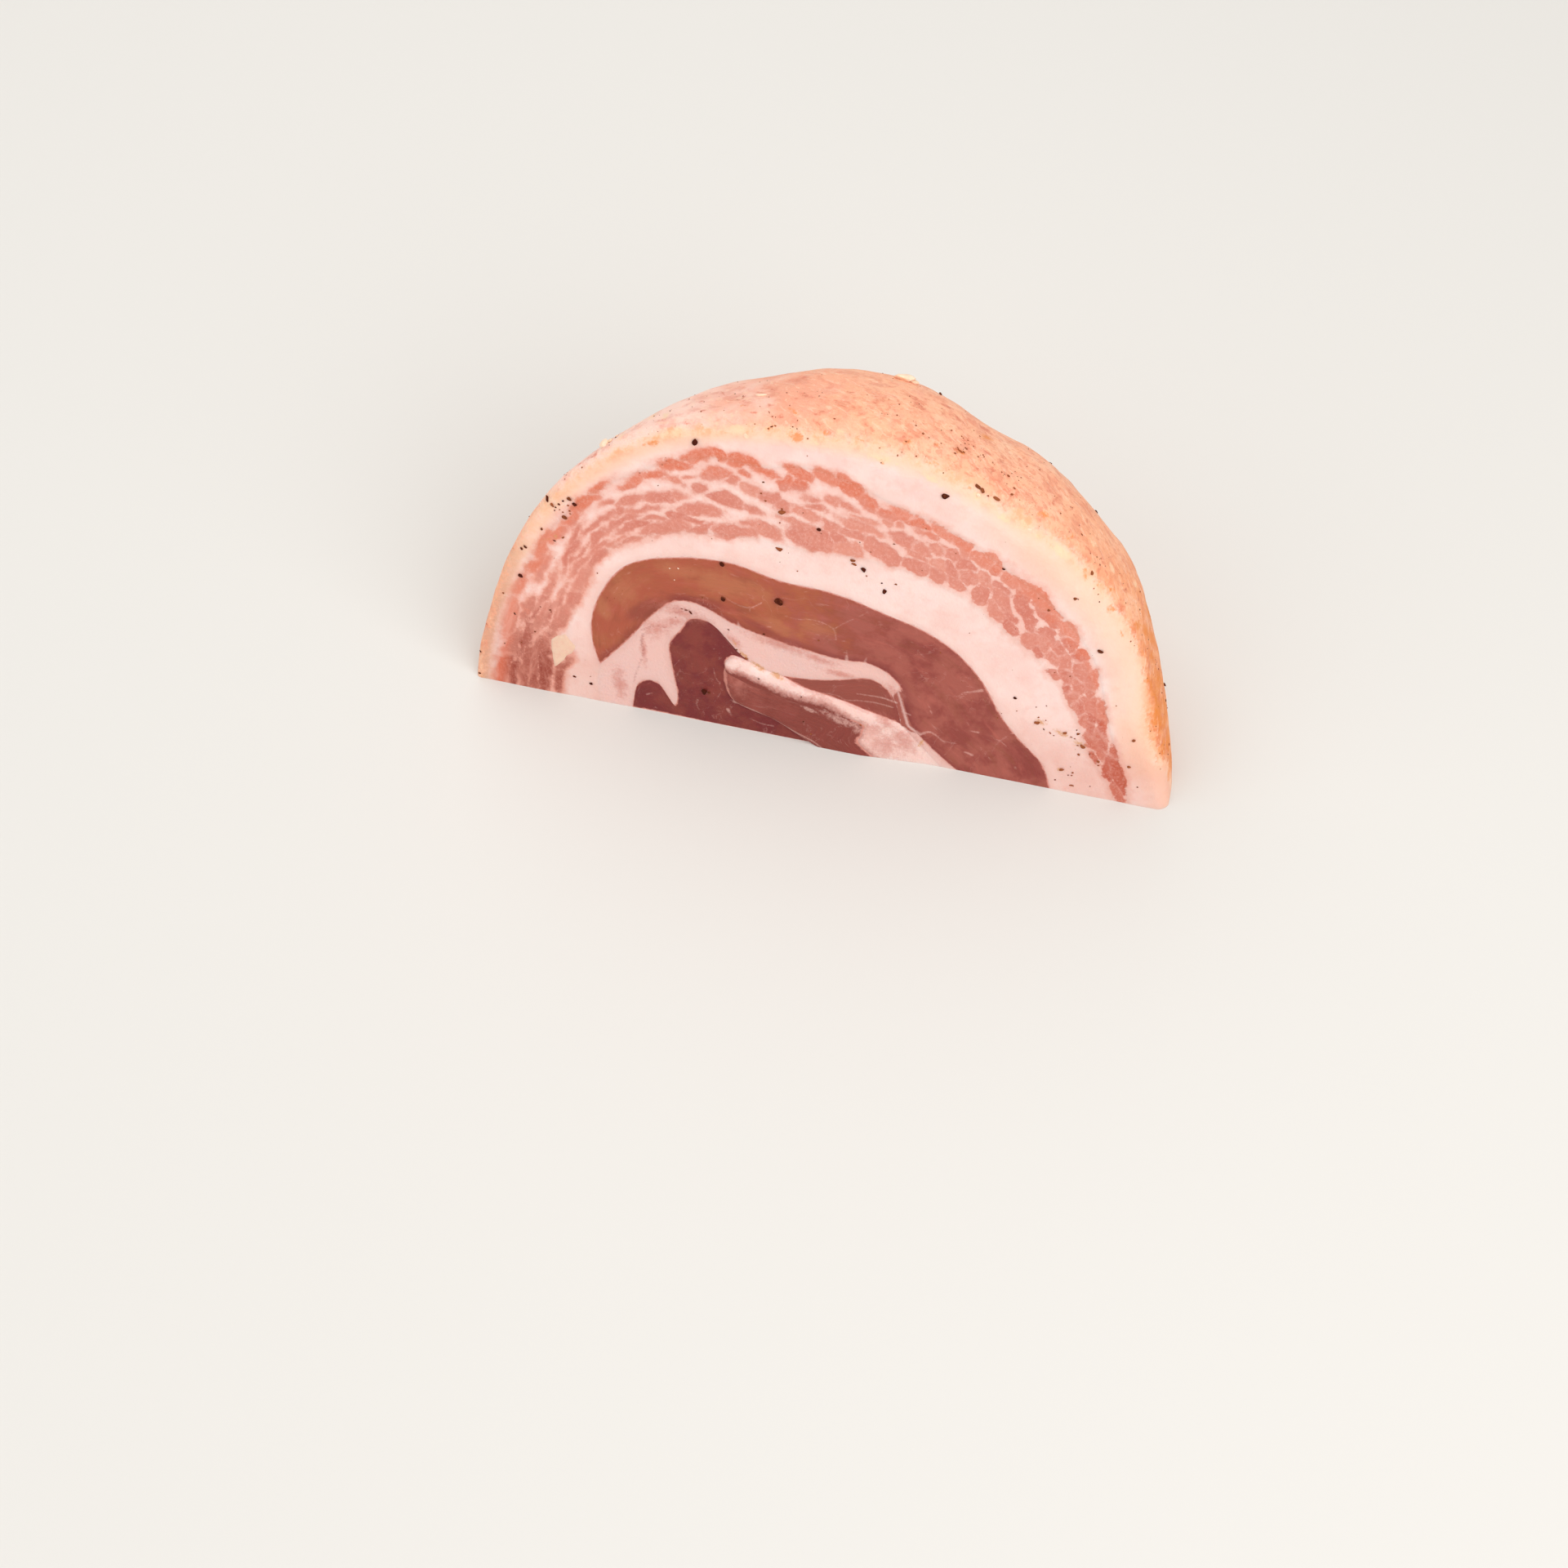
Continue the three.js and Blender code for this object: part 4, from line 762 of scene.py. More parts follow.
def patch_reach(across, up, patches):
    """The greatest of 1 minus the scaled distance from the middle of each turned ellipse."""
    x, y, long, high, turn = np.array(patches, float).T
    turn = np.radians(turn)
    east, north = across[..., None] - x, up[..., None] - y
    along = (east * np.cos(turn) + north * np.sin(turn)) / long
    over = (north * np.cos(turn) - east * np.sin(turn)) / high
    return (1 - np.hypot(along, over)).max(axis=-1)


def face_notes(patch):
    """The notes for threads, sinew, stains and the nearest lean of places on the face."""
    face = (patch[..., 0], patch[..., 1])
    pale, dark, crept = (thread_reach(*face, group) for group in (PALE_THREADS, DARK_THREADS, LEAN_THREADS))
    ellipses = (SINEW_PATCHES, STAINS, ROSE_PATCHES, OLIVE_PATCHES, PLUM_PATCHES)
    sinew, stain, rose, olive, plum = (patch_reach(*face, group) for group in ellipses)
    return {
        "threads": np.stack([pale, dark, lean_gap(*face)], axis=-1),
        "patches": np.stack([sinew, stain, rose], axis=-1),
        "clouds": np.stack([olive, plum, crept], axis=-1),
    }


def marbled_notes(points):
    """The notes that the marbling is painted from: islands, angle and share of the way in, and stains."""
    across, up = points[..., 0], points[..., 1]
    angle = np.clip(np.arctan2(up, across), 0, math.pi)
    outer = fat_inner_at(angle)
    share = (outer - np.hypot(across, up)) / (outer - marbled_inner_at(angle))
    none = 0 * share
    return {
        "islands": marbling(angle, share),
        "roll": np.stack([np.degrees(angle), share, none], axis=-1),
        "patches": np.stack([none + NO_MARK_NEAR, patch_reach(across, up, STAINS), none], axis=-1),
    }


def skin_marks(angle, run):
    """How far places on the skin lie inside the orange, red and butter marks, unrolled along the rim."""

    def unrolled(turn):
        return rim_at(turn) * (math.pi / 2 - turn)

    results = []
    for table in (ORANGE_MARKS, RED_MARKS, BUTTER_MARKS):
        marks = np.array(table, float)
        marks[:, 0] = unrolled(np.radians(marks[:, 0]))
        results.append(patch_reach(unrolled(angle), run, marks))
    return np.stack(results, axis=-1)


# Meshes


def to_metres(points):
    """Places in the frame of the cut, in millimetres, as places in the frame of the object."""
    across, up, out = np.moveaxis(points, -1, 0)
    middle = (CAD_LOW[0] + CAD_HIGH[0]) / 2
    y = (up * math.sin(FACE_LEAN) - out) * MM + FRONT
    return np.stack([across * MM + middle, y, up * math.cos(FACE_LEAN) * MM], axis=-1)


def place_piece(name, mesh, material):
    """Puts a mesh into the scene with its material."""
    mesh.materials.append(bpy.data.materials[material])
    piece = bpy.data.objects.new(name, mesh)
    bpy.context.scene.collection.objects.link(piece)
    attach(piece, "root")
    return piece


def noted(mesh, label, values):
    """Gives each point of a mesh three values."""
    mesh.attributes.new(label, "FLOAT_VECTOR", "POINT").data.foreach_set("vector", np.ravel(values))


def smoothed(mesh, angle):
    """Shades a mesh smoothly, apart from edges sharper than an angle in degrees."""
    mesh.shade_smooth()
    mesh.set_sharp_from_angle(angle=math.radians(angle))


def closed_piece(name, grids, material):
    """Joins grids of points, each with its own notes for the material, into one closed mesh."""
    points, faces, notes, start = [], [], {}, 0
    for grid, marks in grids:
        rows, columns = grid.shape[:2]
        points.append(to_metres(grid).reshape(-1, 3))
        index = np.arange(start, start + rows * columns).reshape(rows, columns)
        corners = [index[:-1, :-1], index[1:, :-1], index[1:, 1:], index[:-1, 1:]]
        faces.append(np.stack(corners, axis=-1).reshape(-1, 4))
        start += rows * columns
        for label, values in marks.items():
            notes.setdefault(label, []).append(np.broadcast_to(values, (rows, columns, 3)).reshape(-1, 3))
    mesh = bpy.data.meshes.new(name)
    mesh.from_pydata(np.vstack(points).tolist(), [], np.vstack(faces).tolist())
    for label, values in notes.items():
        noted(mesh, label, np.vstack(values))
    work = bmesh.new()
    work.from_mesh(mesh)
    bmesh.ops.remove_doubles(work, verts=work.verts, dist=MERGE_DISTANCE * MM)
    bmesh.ops.recalc_face_normals(work, faces=work.faces)
    work.to_mesh(mesh)
    work.free()
    smoothed(mesh, 50)
    return place_piece(name, mesh, material)


def walls(face, back, notes, sides):
    """Grids that run straight from one surface to another along some sides, with the first one's notes."""
    t = np.linspace(0, 1, WALL_STEPS)[:, None, None]
    for side in sides:
        wall = face[side] * (1 - t) + back[side] * t
        yield wall, {label: np.broadcast_to(values[side], wall.shape) for label, values in notes.items()}


def matched(outer, inner, pairs, steps):
    """Shares along both borders, row by row, running evenly between the pairs of opposite points."""
    stops = [(0, 0)] + [(share_near(outer, a), share_near(inner, b)) for a, b in pairs] + [(1, 1)]
    stops = np.maximum.accumulate(np.array(stops), axis=0)
    row = stops.mean(axis=1)
    u = np.linspace(0, 1, steps)
    return u, np.interp(u, row, stops[:, 0]), np.interp(u, row, stops[:, 1])


def closest(line, across):
    """The line's first point whose place across the face is nearest to the given one."""
    return line[np.argmin(np.abs(line[:, 0] - across))]


def ruled_patch(name, outer, inner, pairs=(), bend=()):
    """A layer on the face: rulings from the outer border to the inner one, bowed by the bend near its stops.

    Its band notes are the run along the layer and the distances from its two borders, in millimetres, and its
    share note is the share of the way along it.
    """
    steps, across_steps = LAYER_STEPS[name]
    u, on_outer, on_inner = matched(outer, inner, pairs, steps)
    a, b = at_share(outer, on_outer)[:, None], at_share(inner, on_inner)[:, None]
    v = np.linspace(0, 1, across_steps)[None, :, None]
    patch = a * (1 - v) + b * v
    if bend:
        rows = [np.interp(share_near(outer, closest(outer, stop[0])), on_outer, u) for stop in bend]
        bow = np.stack([np.interp(u, rows, [stop[k] for stop in bend], 0, 0) for k in (1, 2)], axis=-1)
        patch = patch + 2 * v * (1 - v) * bow[:, None]
    inwards = v[..., 0] * np.linalg.norm(a - b, axis=-1)
    run = np.r_[0, np.cumsum(np.linalg.norm(np.diff(patch[:, across_steps // 2], axis=0), axis=1))]
    none = 0 * inwards
    band = np.stack([run[:, None] + none, inwards, inwards[:, ::-1]], axis=-1)
    share = np.stack([u[:, None] + none, none, none], axis=-1)
    return patch, {"band": band, "share": share}


def noted_patch(*parts):
    """A ruled layer with its notes and those of the face."""
    patch, notes = ruled_patch(*parts)
    return patch, {**notes, **face_notes(patch)}


def layer_piece(name, node_name, slot, material, patch, notes, proud=0):
    """A layer as a closed solid: its face, the same shape under the skin, and walls straight back."""
    front = face_wave(patch) + proud
    rear = np.minimum(front, -depth_under_skin(patch[..., 0], patch[..., 1]))
    face = np.concatenate([patch, front[..., None]], axis=-1)
    back = np.concatenate([patch, rear[..., None]], axis=-1)
    sides = (np.s_[:, 0], np.s_[:, -1], np.s_[0, :], np.s_[-1, :])
    piece = closed_piece(name, [(face, notes), (back, notes), *walls(face, back, notes, sides)], material)
    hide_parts(node_name)


# Nodes of the materials


class Field:
    """A node's output. Sums, differences and products of fields are math nodes in the same tree."""

    def __init__(self, socket):
        self.socket = socket

    def __add__(self, other):
        return maths("ADD", self, other)

    def __sub__(self, other):
        return maths("SUBTRACT", self, other)

    def __rsub__(self, other):
        return maths("SUBTRACT", other, self)

    def __mul__(self, other):
        return maths("MULTIPLY", self, other)

    def __abs__(self):
        return maths("ABSOLUTE", self)


def fill(socket, value):
    """Joins a field to a socket, or sets the socket's plain value."""
    if isinstance(value, Field):
        socket.id_data.links.new(value.socket, socket)
    elif socket.type == "RGBA":
        socket.default_value = (*value, 1)
    else:
        socket.default_value = value


def tree_of(values):
    """The tree of the first field among the values."""
    return next(value.socket.id_data for value in values if isinstance(value, Field))


def node(kind, inputs, tree=None, **settings):
    """Adds a node, sets it, joins or fills its inputs, and gives its outputs in order."""
    new = (tree or tree_of(inputs.values())).nodes.new(kind)
    for name, value in settings.items():
        setattr(new, name, value)
    for key, value in inputs.items():
        fill(new.inputs[key], value)
    return [Field(socket) for socket in new.outputs]


def maths(operation, *values, clamp=False):
    """A math node's result."""
    return node("ShaderNodeMath", dict(enumerate(values)), operation=operation, use_clamp=clamp)[0]


def highest(*values):
    """The greatest of some values."""
    result = values[0]
    for value in values[1:]:
        result = maths("MAXIMUM", result, value)
    return result


def mix(share, first, second, blend="MIX"):
    """A mix of two colours, each a field or a plain colour."""
    inputs = {0: share, 6: first, 7: second}
    return node("ShaderNodeMix", inputs, data_type="RGBA", blend_type=blend)[2]


def painted(tone, *coats):
    """A colour with others laid over it in turn, each by its mask."""
    for mask, paint in coats:
        tone = mix(mask, tone, paint)
    return tone


def ramp(value, low, high):
    """A value that rises smoothly from 0 to 1 between two limits."""
    inputs = {"Value": value, "From Min": low, "From Max": high}
    return node("ShaderNodeMapRange", inputs, interpolation_type="SMOOTHSTEP")[0]


def noise(place, scale, detail=3, roughness=0.55, distortion=0):
    """A noise texture's value."""
    inputs = {"Vector": place, "Scale": scale, "Detail": detail, "Roughness": roughness}
    return node("ShaderNodeTexNoise", {**inputs, "Distortion": distortion})[0]


def swing(place, *settings):
    """A noise texture's value, moved to lie around 0."""
    return noise(place, *settings) - 0.5


def combined(x, y, z=0):
    """Three values as one place."""
    return node("ShaderNodeCombineXYZ", {"X": x, "Y": y, "Z": z})[0]


def separate(place):
    """The three values of a place."""
    return node("ShaderNodeSeparateXYZ", {"Vector": place})


def scaled(place, factors):
    """A place scaled along its axes."""
    return node("ShaderNodeVectorMath", {0: place, 1: factors}, operation="MULTIPLY")[0]


def attribute(place, label):
    """The three values of a mesh attribute, in the tree of the given place."""
    return separate(node("ShaderNodeAttribute", {}, tree_of([place]), attribute_name=label)[1])


# Effects that the materials share


def fat_tone(given):
    """Fat's colour: a main tone, soft patches, small clouds, and a blush that seeps in from the lean."""
    place = given["Place"]
    fine = noise(place, 0.5, 4, 0.6)
    gap = (fine - 0.5) * 1.6 + given["Lean Gap"]
    tone = painted(
        given["Main"],
        (ramp(noise(place, 0.09, 2), 0.35, 0.68) * given["Patchiness"], given["Patch"]),
        (ramp(fine, 0.45, 0.75) * 0.35, given["Cloud"]),
        (highest(ramp(gap, 1.7, 0.1) * 0.16, ramp(gap, 0.42, 0) * 0.45), given["Blush"]),
    )
    return {"Color": tone, "Height": noise(place, 1.6, 4, 0.6)}


def ragged_edge(given):
    """How far inside a layer a place is, along a wavering line: the blush begins before the lean does."""
    inset, softness = given["Inset"], given["Softness"]
    nearest = maths("SMOOTH_MIN", given["First Side"], given["Second Side"], 0.4)
    distance = nearest + swing(given["Place"], 0.8, 5, 0.65) * given["Waver"]
    return {
        "Lean": ramp(distance, inset, inset + softness),
        "Blush": ramp(distance, inset - softness, inset),
    }


def muscle(given):
    """Muscle: long soft fibres, clouds, short pale flecks, a few faint crooked veils, and a fine height."""
    place, grain = given["Place"], given["Grain"]
    dash = ramp(noise(grain, 2.4, 3, 0.6), 0.6, 0.72)
    crook = abs(swing(place, 0.13, 4, 0.6, 1))
    return {
        "Fibres": noise(grain, 1, 6, 0.66, 0.5),
        "Clouds": noise(place, 0.17, 5, 0.62),
        "Flecks": dash * ramp(noise(place, 0.3), 0.46, 0.64),
        "Veils": ramp(crook, 0.012, 0) * ramp(noise(place, 0.11, 2), 0.5, 0.62),
        "Height": noise(grain, 2.5, 4, 0.6),
    }


def marbled(given):
    """Marbling: islands of lean with soft ragged edges, seams of fat between them, mottling and veins.

    Everything is softened or shifted by two sizes of noise. The seams follow the lead of an island over the
    next one. The lean turns from its outer to its inner colour by the share of the way in, and to two darker
    ones low on the right and the left. The fat takes a veil of pink near the lean.
    """
    place, angle, share = given["Place"], given["Angle"], given["Share"]
    coarse, fine = swing(place, 0.5, 4, 0.6), swing(place, 1.7, 4, 0.65)
    right, left = ramp(angle, 96, 60), ramp(angle, 150, 172)
    reached = given["Reach"] + (coarse * 1.7 + fine * 0.9) + (highest(right, left) * 0.14 + 0.12)
    soft = right * -0.22 + 0.44
    hem = left * ramp(coarse * 0.16 + share, 0.06, -0.03)
    lean = ramp(reached, soft * -1, soft) * (1 - hem)

    streak = ramp(noise(combined(angle * 0.26, share * 11), 0.62, 4, 0.6, 0.4), 0.46, 0.66) * 0.5
    lead = fine * 1.3 + (coarse * 2.2 + given["Lead"])
    seam = ramp(lead, 0.7, -0.15) * (ramp(noise(place, 0.34), 0.36, 0.6) * 0.5 + 0.16)
    vein = ramp(abs(swing(place, 0.42, 3, 0.55, 0.8)), 0.06, 0) * ramp(noise(place, 0.24, 2), 0.4, 0.6)
    pale = highest(seam, vein * 0.26, ramp(fine, -0.04, 0.2) * 0.36, streak * ramp(angle, 146, 160))
    lean = lean * (1 - pale)

    inward = ramp(coarse * 0.5 + share, 0.08, 0.34)
    middle = ramp(angle, 124, 104) * ramp(angle, 46, 70)
    low_left = ramp(coarse * 30 + angle, 150, 174) * 0.9
    meat = painted(
        given["Outer Lean"],
        (inward, given["Inner Lean"]),
        (ramp(coarse * 24 + angle, 38, 8) * 0.9, given["Right Lean"]),
        (low_left * ramp(share, 0.05, 0.3), given["Left Lean"]),
        (middle * inward * 0.24 + (coarse * 1.6 + given["Draw"]) * 0.38, given["Veil"]),
    )
    veil = ramp(reached, -1.6, 0.1) * (ramp(angle, 122, 150) * 0.36 + 0.5)
    return {"Color": painted(given["Fat"], (veil, given["Veil"]), (lean, meat)), "Lean": lean}


def marks_of_face(given):
    """Marks on the face as masks: pale and dark threads, netted sinew, stains and crumpled rosy patches."""
    place = given["Place"]
    coarse, fine = swing(place, 0.6, 4, 0.65), swing(place, 2.4, 3, 0.6)
    lines = ramp(abs(swing(place, 0.55, 4, 0.6, 0.8)), 0.14, 0.01)
    area = ramp(coarse * 2.2 + given["Sinew Reach"], -0.1, 0.6)
    return {
        "Pale": ramp(fine * 0.45 + given["Pale Reach"], -0.18, 0.36),
        "Dark": ramp(fine * 1.1 + given["Dark Reach"], -0.3, 0.3),
        "Sinew": maths("MULTIPLY", area, lines * 0.5 + (fine * 1.2 + 0.4), clamp=True),
        "Stain": ramp(fine * 1.2 + (coarse * 2 + given["Stain Reach"]), 0, 1),
        "Rose": ramp(coarse * 2.6 + (fine * 0.6 + given["Rose Reach"]), -0.6, 1.1),
    }


# Each effect: its function, its inputs that are places, those that are colours, and its values with defaults
EFFECTS = {
    "Fat Tone": (
        fat_tone, ("Place",), ("Main", "Patch", "Cloud", "Blush"),
        {"Patchiness": 0.5, "Lean Gap": NO_LEAN_NEAR},
    ),
    "Ragged Edge": (
        ragged_edge, ("Place",), (),
        {"First Side": 1, "Second Side": 1, "Inset": 0.3, "Softness": 0.35, "Waver": 0.8},
    ),
    "Muscle": (muscle, ("Place", "Grain"), (), {}),
    "Marbling": (
        marbled, ("Place",), ("Fat", "Veil", "Outer Lean", "Inner Lean", "Right Lean", "Left Lean"),
        {"Reach": 0, "Lead": 0, "Draw": 0.5, "Angle": 90, "Share": 0.5},
    ),
    "Face Marks": (
        marks_of_face, ("Place",), (),
        {f"{mark} Reach": NO_MARK_NEAR for mark in ("Pale", "Dark", "Sinew", "Stain", "Rose")},
    ),
}


def new_effect(name, work_out, places, tones, values):
    """A node group with named sockets, whose outputs are worked out from its inputs."""
    group = bpy.data.node_groups.new(name, "ShaderNodeTree")
    for label in places:
        group.interface.new_socket(label, in_out="INPUT", socket_type="NodeSocketVector")
    for label in tones:
        group.interface.new_socket(label, in_out="INPUT", socket_type="NodeSocketColor")
    for label, default in values.items():
        socket = group.interface.new_socket(label, in_out="INPUT", socket_type="NodeSocketFloat")
        socket.default_value = default
    results = work_out(by_name(group.nodes.new("NodeGroupInput")))
    for label in results:
        kind = "NodeSocketColor" if label == "Color" else "NodeSocketFloat"
        group.interface.new_socket(label, in_out="OUTPUT", socket_type=kind)
    end = group.nodes.new("NodeGroupOutput")
    for label, value in results.items():
        fill(end.inputs[label], value)


def by_name(made):
    """A node's outputs by their names."""
    return {socket.name: Field(socket) for socket in made.outputs}


def effect(name, inputs):
    """Places a shared effect in a material, and gives its outputs by name."""
    new = tree_of(inputs.values()).nodes.new("ShaderNodeGroup")
    new.node_tree = bpy.data.node_groups[name]
    for label, value in inputs.items():
        fill(new.inputs[label], value)
    return by_name(new)


# Materials


def new_material(name):
    """An empty material's shader, and the place of its points: object coordinates in millimetres."""
    material = bpy.data.materials.new(name)
    material.use_nodes = True
    tree = material.node_tree
    tree.nodes.clear()
    shader = tree.nodes.new("ShaderNodeBsdfPrincipled")
    output = tree.nodes.new("ShaderNodeOutputMaterial")
    tree.links.new(shader.outputs[0], output.inputs[0])
    coordinates = by_name(tree.nodes.new("ShaderNodeTexCoord"))["Object"]
    inputs = {0: coordinates, "Scale": 1 / MM}
    return shader, node("ShaderNodeVectorMath", inputs, operation="SCALE")[0]


def set_shader(shader, tone, height, strength, relief, rough, soft=0, soft_reach=1, specular=0.3):
    """Feeds a shader its colour and relief, and sets its plain numbers. The reaches are in millimetres.

    The plain numbers are the roughness, and how much light sinks in and how far it spreads.
    """
    inputs = {"Height": height, "Strength": strength, "Distance": relief * MM}
    for label, value in {
        "Base Color": tone,
        "Normal": node("ShaderNodeBump", inputs)[0],
        "Roughness": rough,
        "Subsurface Weight": soft,
        "Subsurface Radius": SOFT_COLOUR,
        "Subsurface Scale": soft_reach * MM,
        "Specular IOR Level": specular,
    }.items():
        fill(shader.inputs[label], value)


def white_fat_tone(place, colours, main=None, gap=NO_LEAN_NEAR):
    """The tone that the fat layers and the pale edges of the lean share."""
    return effect("Fat Tone", {
        "Place": place, "Main": main or colours.fat_white, "Patch": colours.fat_rose,
        "Cloud": colours.fat_rose, "Blush": colours.fat_blush, "Patchiness": 0.45, "Lean Gap": gap,
    })


def face_marks(place):
    """The masks of the marks, from the notes of the piece."""
    threads, patches = attribute(place, "threads"), attribute(place, "patches")
    return effect("Face Marks", {
        "Place": place, "Pale Reach": threads[0], "Dark Reach": threads[1],
        "Sinew Reach": patches[0], "Stain Reach": patches[1], "Rose Reach": patches[2],
    })


def white_fat_material(name, colours, main, feather=None):
    """Rosy white fat of the cut face, with dark threads and orange stains.

    Where a lean colour is given as the feather, it runs in from the layer's inner border in fine tongues.
    """
    shader, place = new_material(name)
    fat = white_fat_tone(place, colours, main, attribute(place, "threads")[2])
    marks = face_marks(place)
    crept = swing(place, 0.9, 4) * 1.2 + attribute(place, "clouds")[2]
    tone = painted(
        fat["Color"],
        (marks["Rose"] * 0.72, colours.fat_crease),
        (marks["Dark"] * 0.6, colours.thread_dark),
        (ramp(crept, -0.15, 0.25), colours.lean_mauve),
        (marks["Pale"] * 0.7, main),
    )
    if feather:
        width = ramp(attribute(place, "share")[0], 0.66, 0.5) * 1.9
        ragged = swing(place, 1.1, 5, 0.7) * 2.6 + swing(place, 0.2, 2) * 2
        covered = ramp(width - attribute(place, "band")[2] + ragged, -1.5, 1.3)
        tone = painted(
            tone,
            (covered, feather),
            (covered * (1 - covered) * 1.8, colours.fat_blush),
            (marks["Sinew"] * 0.6, colours.fat_rose),
        )
    tone = mix(marks["Stain"] * 0.8, tone, colours.stain)
    crumpled = marks["Rose"] * noise(place, 0.7, 5, 0.7, 1) + fat["Height"]
    set_shader(shader, tone, crumpled, 0.5, 0.4, 0.48, 0.2, 2)


def lean_material(
    name, colours, first, second, clouds, grain, switch=(0, 1), hem=0, edge=(0.05, 0.35, 1), open_until=0
):
    """Lean that turns from one colour to another along its band, clouded, fibrous and veined.

    The clouds are the two colours' darker or browner ones, and the switch is where along the band the colours
    turn. The grain is how the fibres' place is scaled along, across and into the band. The hem is how strong
    the dark line along the inner border is. The edge holds the inset, the softness and the waver of the
    border, and the outer border stays lean up to a share of the band.
    """
    shader, place = new_material(name)
    band, along = attribute(place, "band"), attribute(place, "share")[0]
    marks, clouded = face_marks(place), attribute(place, "clouds")
    fibre_place = scaled(combined(band[0], band[1], separate(place)[1]), grain)
    flesh = effect("Muscle", {"Place": place, "Grain": fibre_place})
    cloud = flesh["Clouds"] - 0.5
    sway = cloud * 0.6
    turn = ramp(along + sway, *switch)
    haze = cloud * 2.4
    lean = painted(
        mix(turn, first, second),
        (ramp(flesh["Clouds"], 0.42, 0.64) * 0.75, mix(turn, *clouds)),
        (ramp(clouded[0] + haze, -0.3, 0.7) * 0.6, colours.lean_sand),
        (ramp(clouded[1] + haze, -0.3, 0.7) * (0.6 if hem else 0), colours.lean_plum),
        (ramp(flesh["Fibres"], 0.5, 0.72) * 0.38, [value * 0.62 for value in clouds[1]]),
        (ramp(flesh["Fibres"], 0.5, 0.28) * 0.32, [min(1, value * 1.45) for value in first]),
        (ramp(band[2] + sway * 4, 2.4, 0.1) * hem, colours.lean_wine),
        (flesh["Flecks"] * 0.2, colours.fat_rose),
        (flesh["Veils"] * 0.13, colours.fat_rose),
        (marks["Sinew"] * 0.55, colours.fat_rose),
        (marks["Rose"] * 0.4, colours.fat_crease),
    )
    outer_side = band[1]
    if open_until:
        outer_side = band[1] + ramp(along, open_until + 0.1, open_until) * 9
    ragged = effect("Ragged Edge", {
        "Place": place, "First Side": outer_side, "Second Side": band[2],
        "Inset": edge[0], "Softness": edge[1], "Waver": edge[2],
    })
    tone = painted(
        white_fat_tone(place, colours)["Color"],
        (ragged["Blush"], colours.fat_blush),
        (highest(ragged["Lean"], ramp(clouded[2], -0.8, -0.2)), lean),
        (marks["Pale"] * 0.52, colours.fat_rose),
    )
    set_shader(shader, tone, flesh["Height"], 0.5, 0.3, 0.42, 0.1, 1)


def marbled_tone(place, colours, fat):
    """Colour and lean share of the marbling, from the notes of the piece, with painted shade darkening the
    foot.
    """
    islands, roll = attribute(place, "islands"), attribute(place, "roll")
    tone = effect("Marbling", {
        "Place": place, "Reach": islands[0], "Lead": islands[1], "Draw": islands[2], "Angle": roll[0],
        "Share": roll[1], "Fat": fat, "Veil": colours.fat_veil, "Outer Lean": colours.lean_salmon,
        "Inner Lean": colours.lean_pink, "Right Lean": colours.lean_brick, "Left Lean": colours.lean_heather,
    })
    # Painted shade: the marbled colour is darkened towards the foot of the face
    low = ramp(separate(place)[2], 24, 5)
    return mix(low, tone["Color"], colours.painted_shade, "MULTIPLY"), tone["Lean"]


def marbled_material(name, colours, gap=False):
    """Islands of salmon and pink lean in white fat; a band that borders on other lean notes its gap to it."""
    shader, place = new_material(name)
    near = attribute(place, "threads")[2] if gap else NO_LEAN_NEAR
    fat = white_fat_tone(place, colours, gap=near)
    tone, lean = marbled_tone(place, colours, fat["Color"])
    tone = mix(face_marks(place)["Stain"] * 0.8, tone, colours.stain)
    set_shader(shader, tone, lean * -0.5 + fat["Height"], 0.35, 0.3, 0.45, 0.15, 1.2)


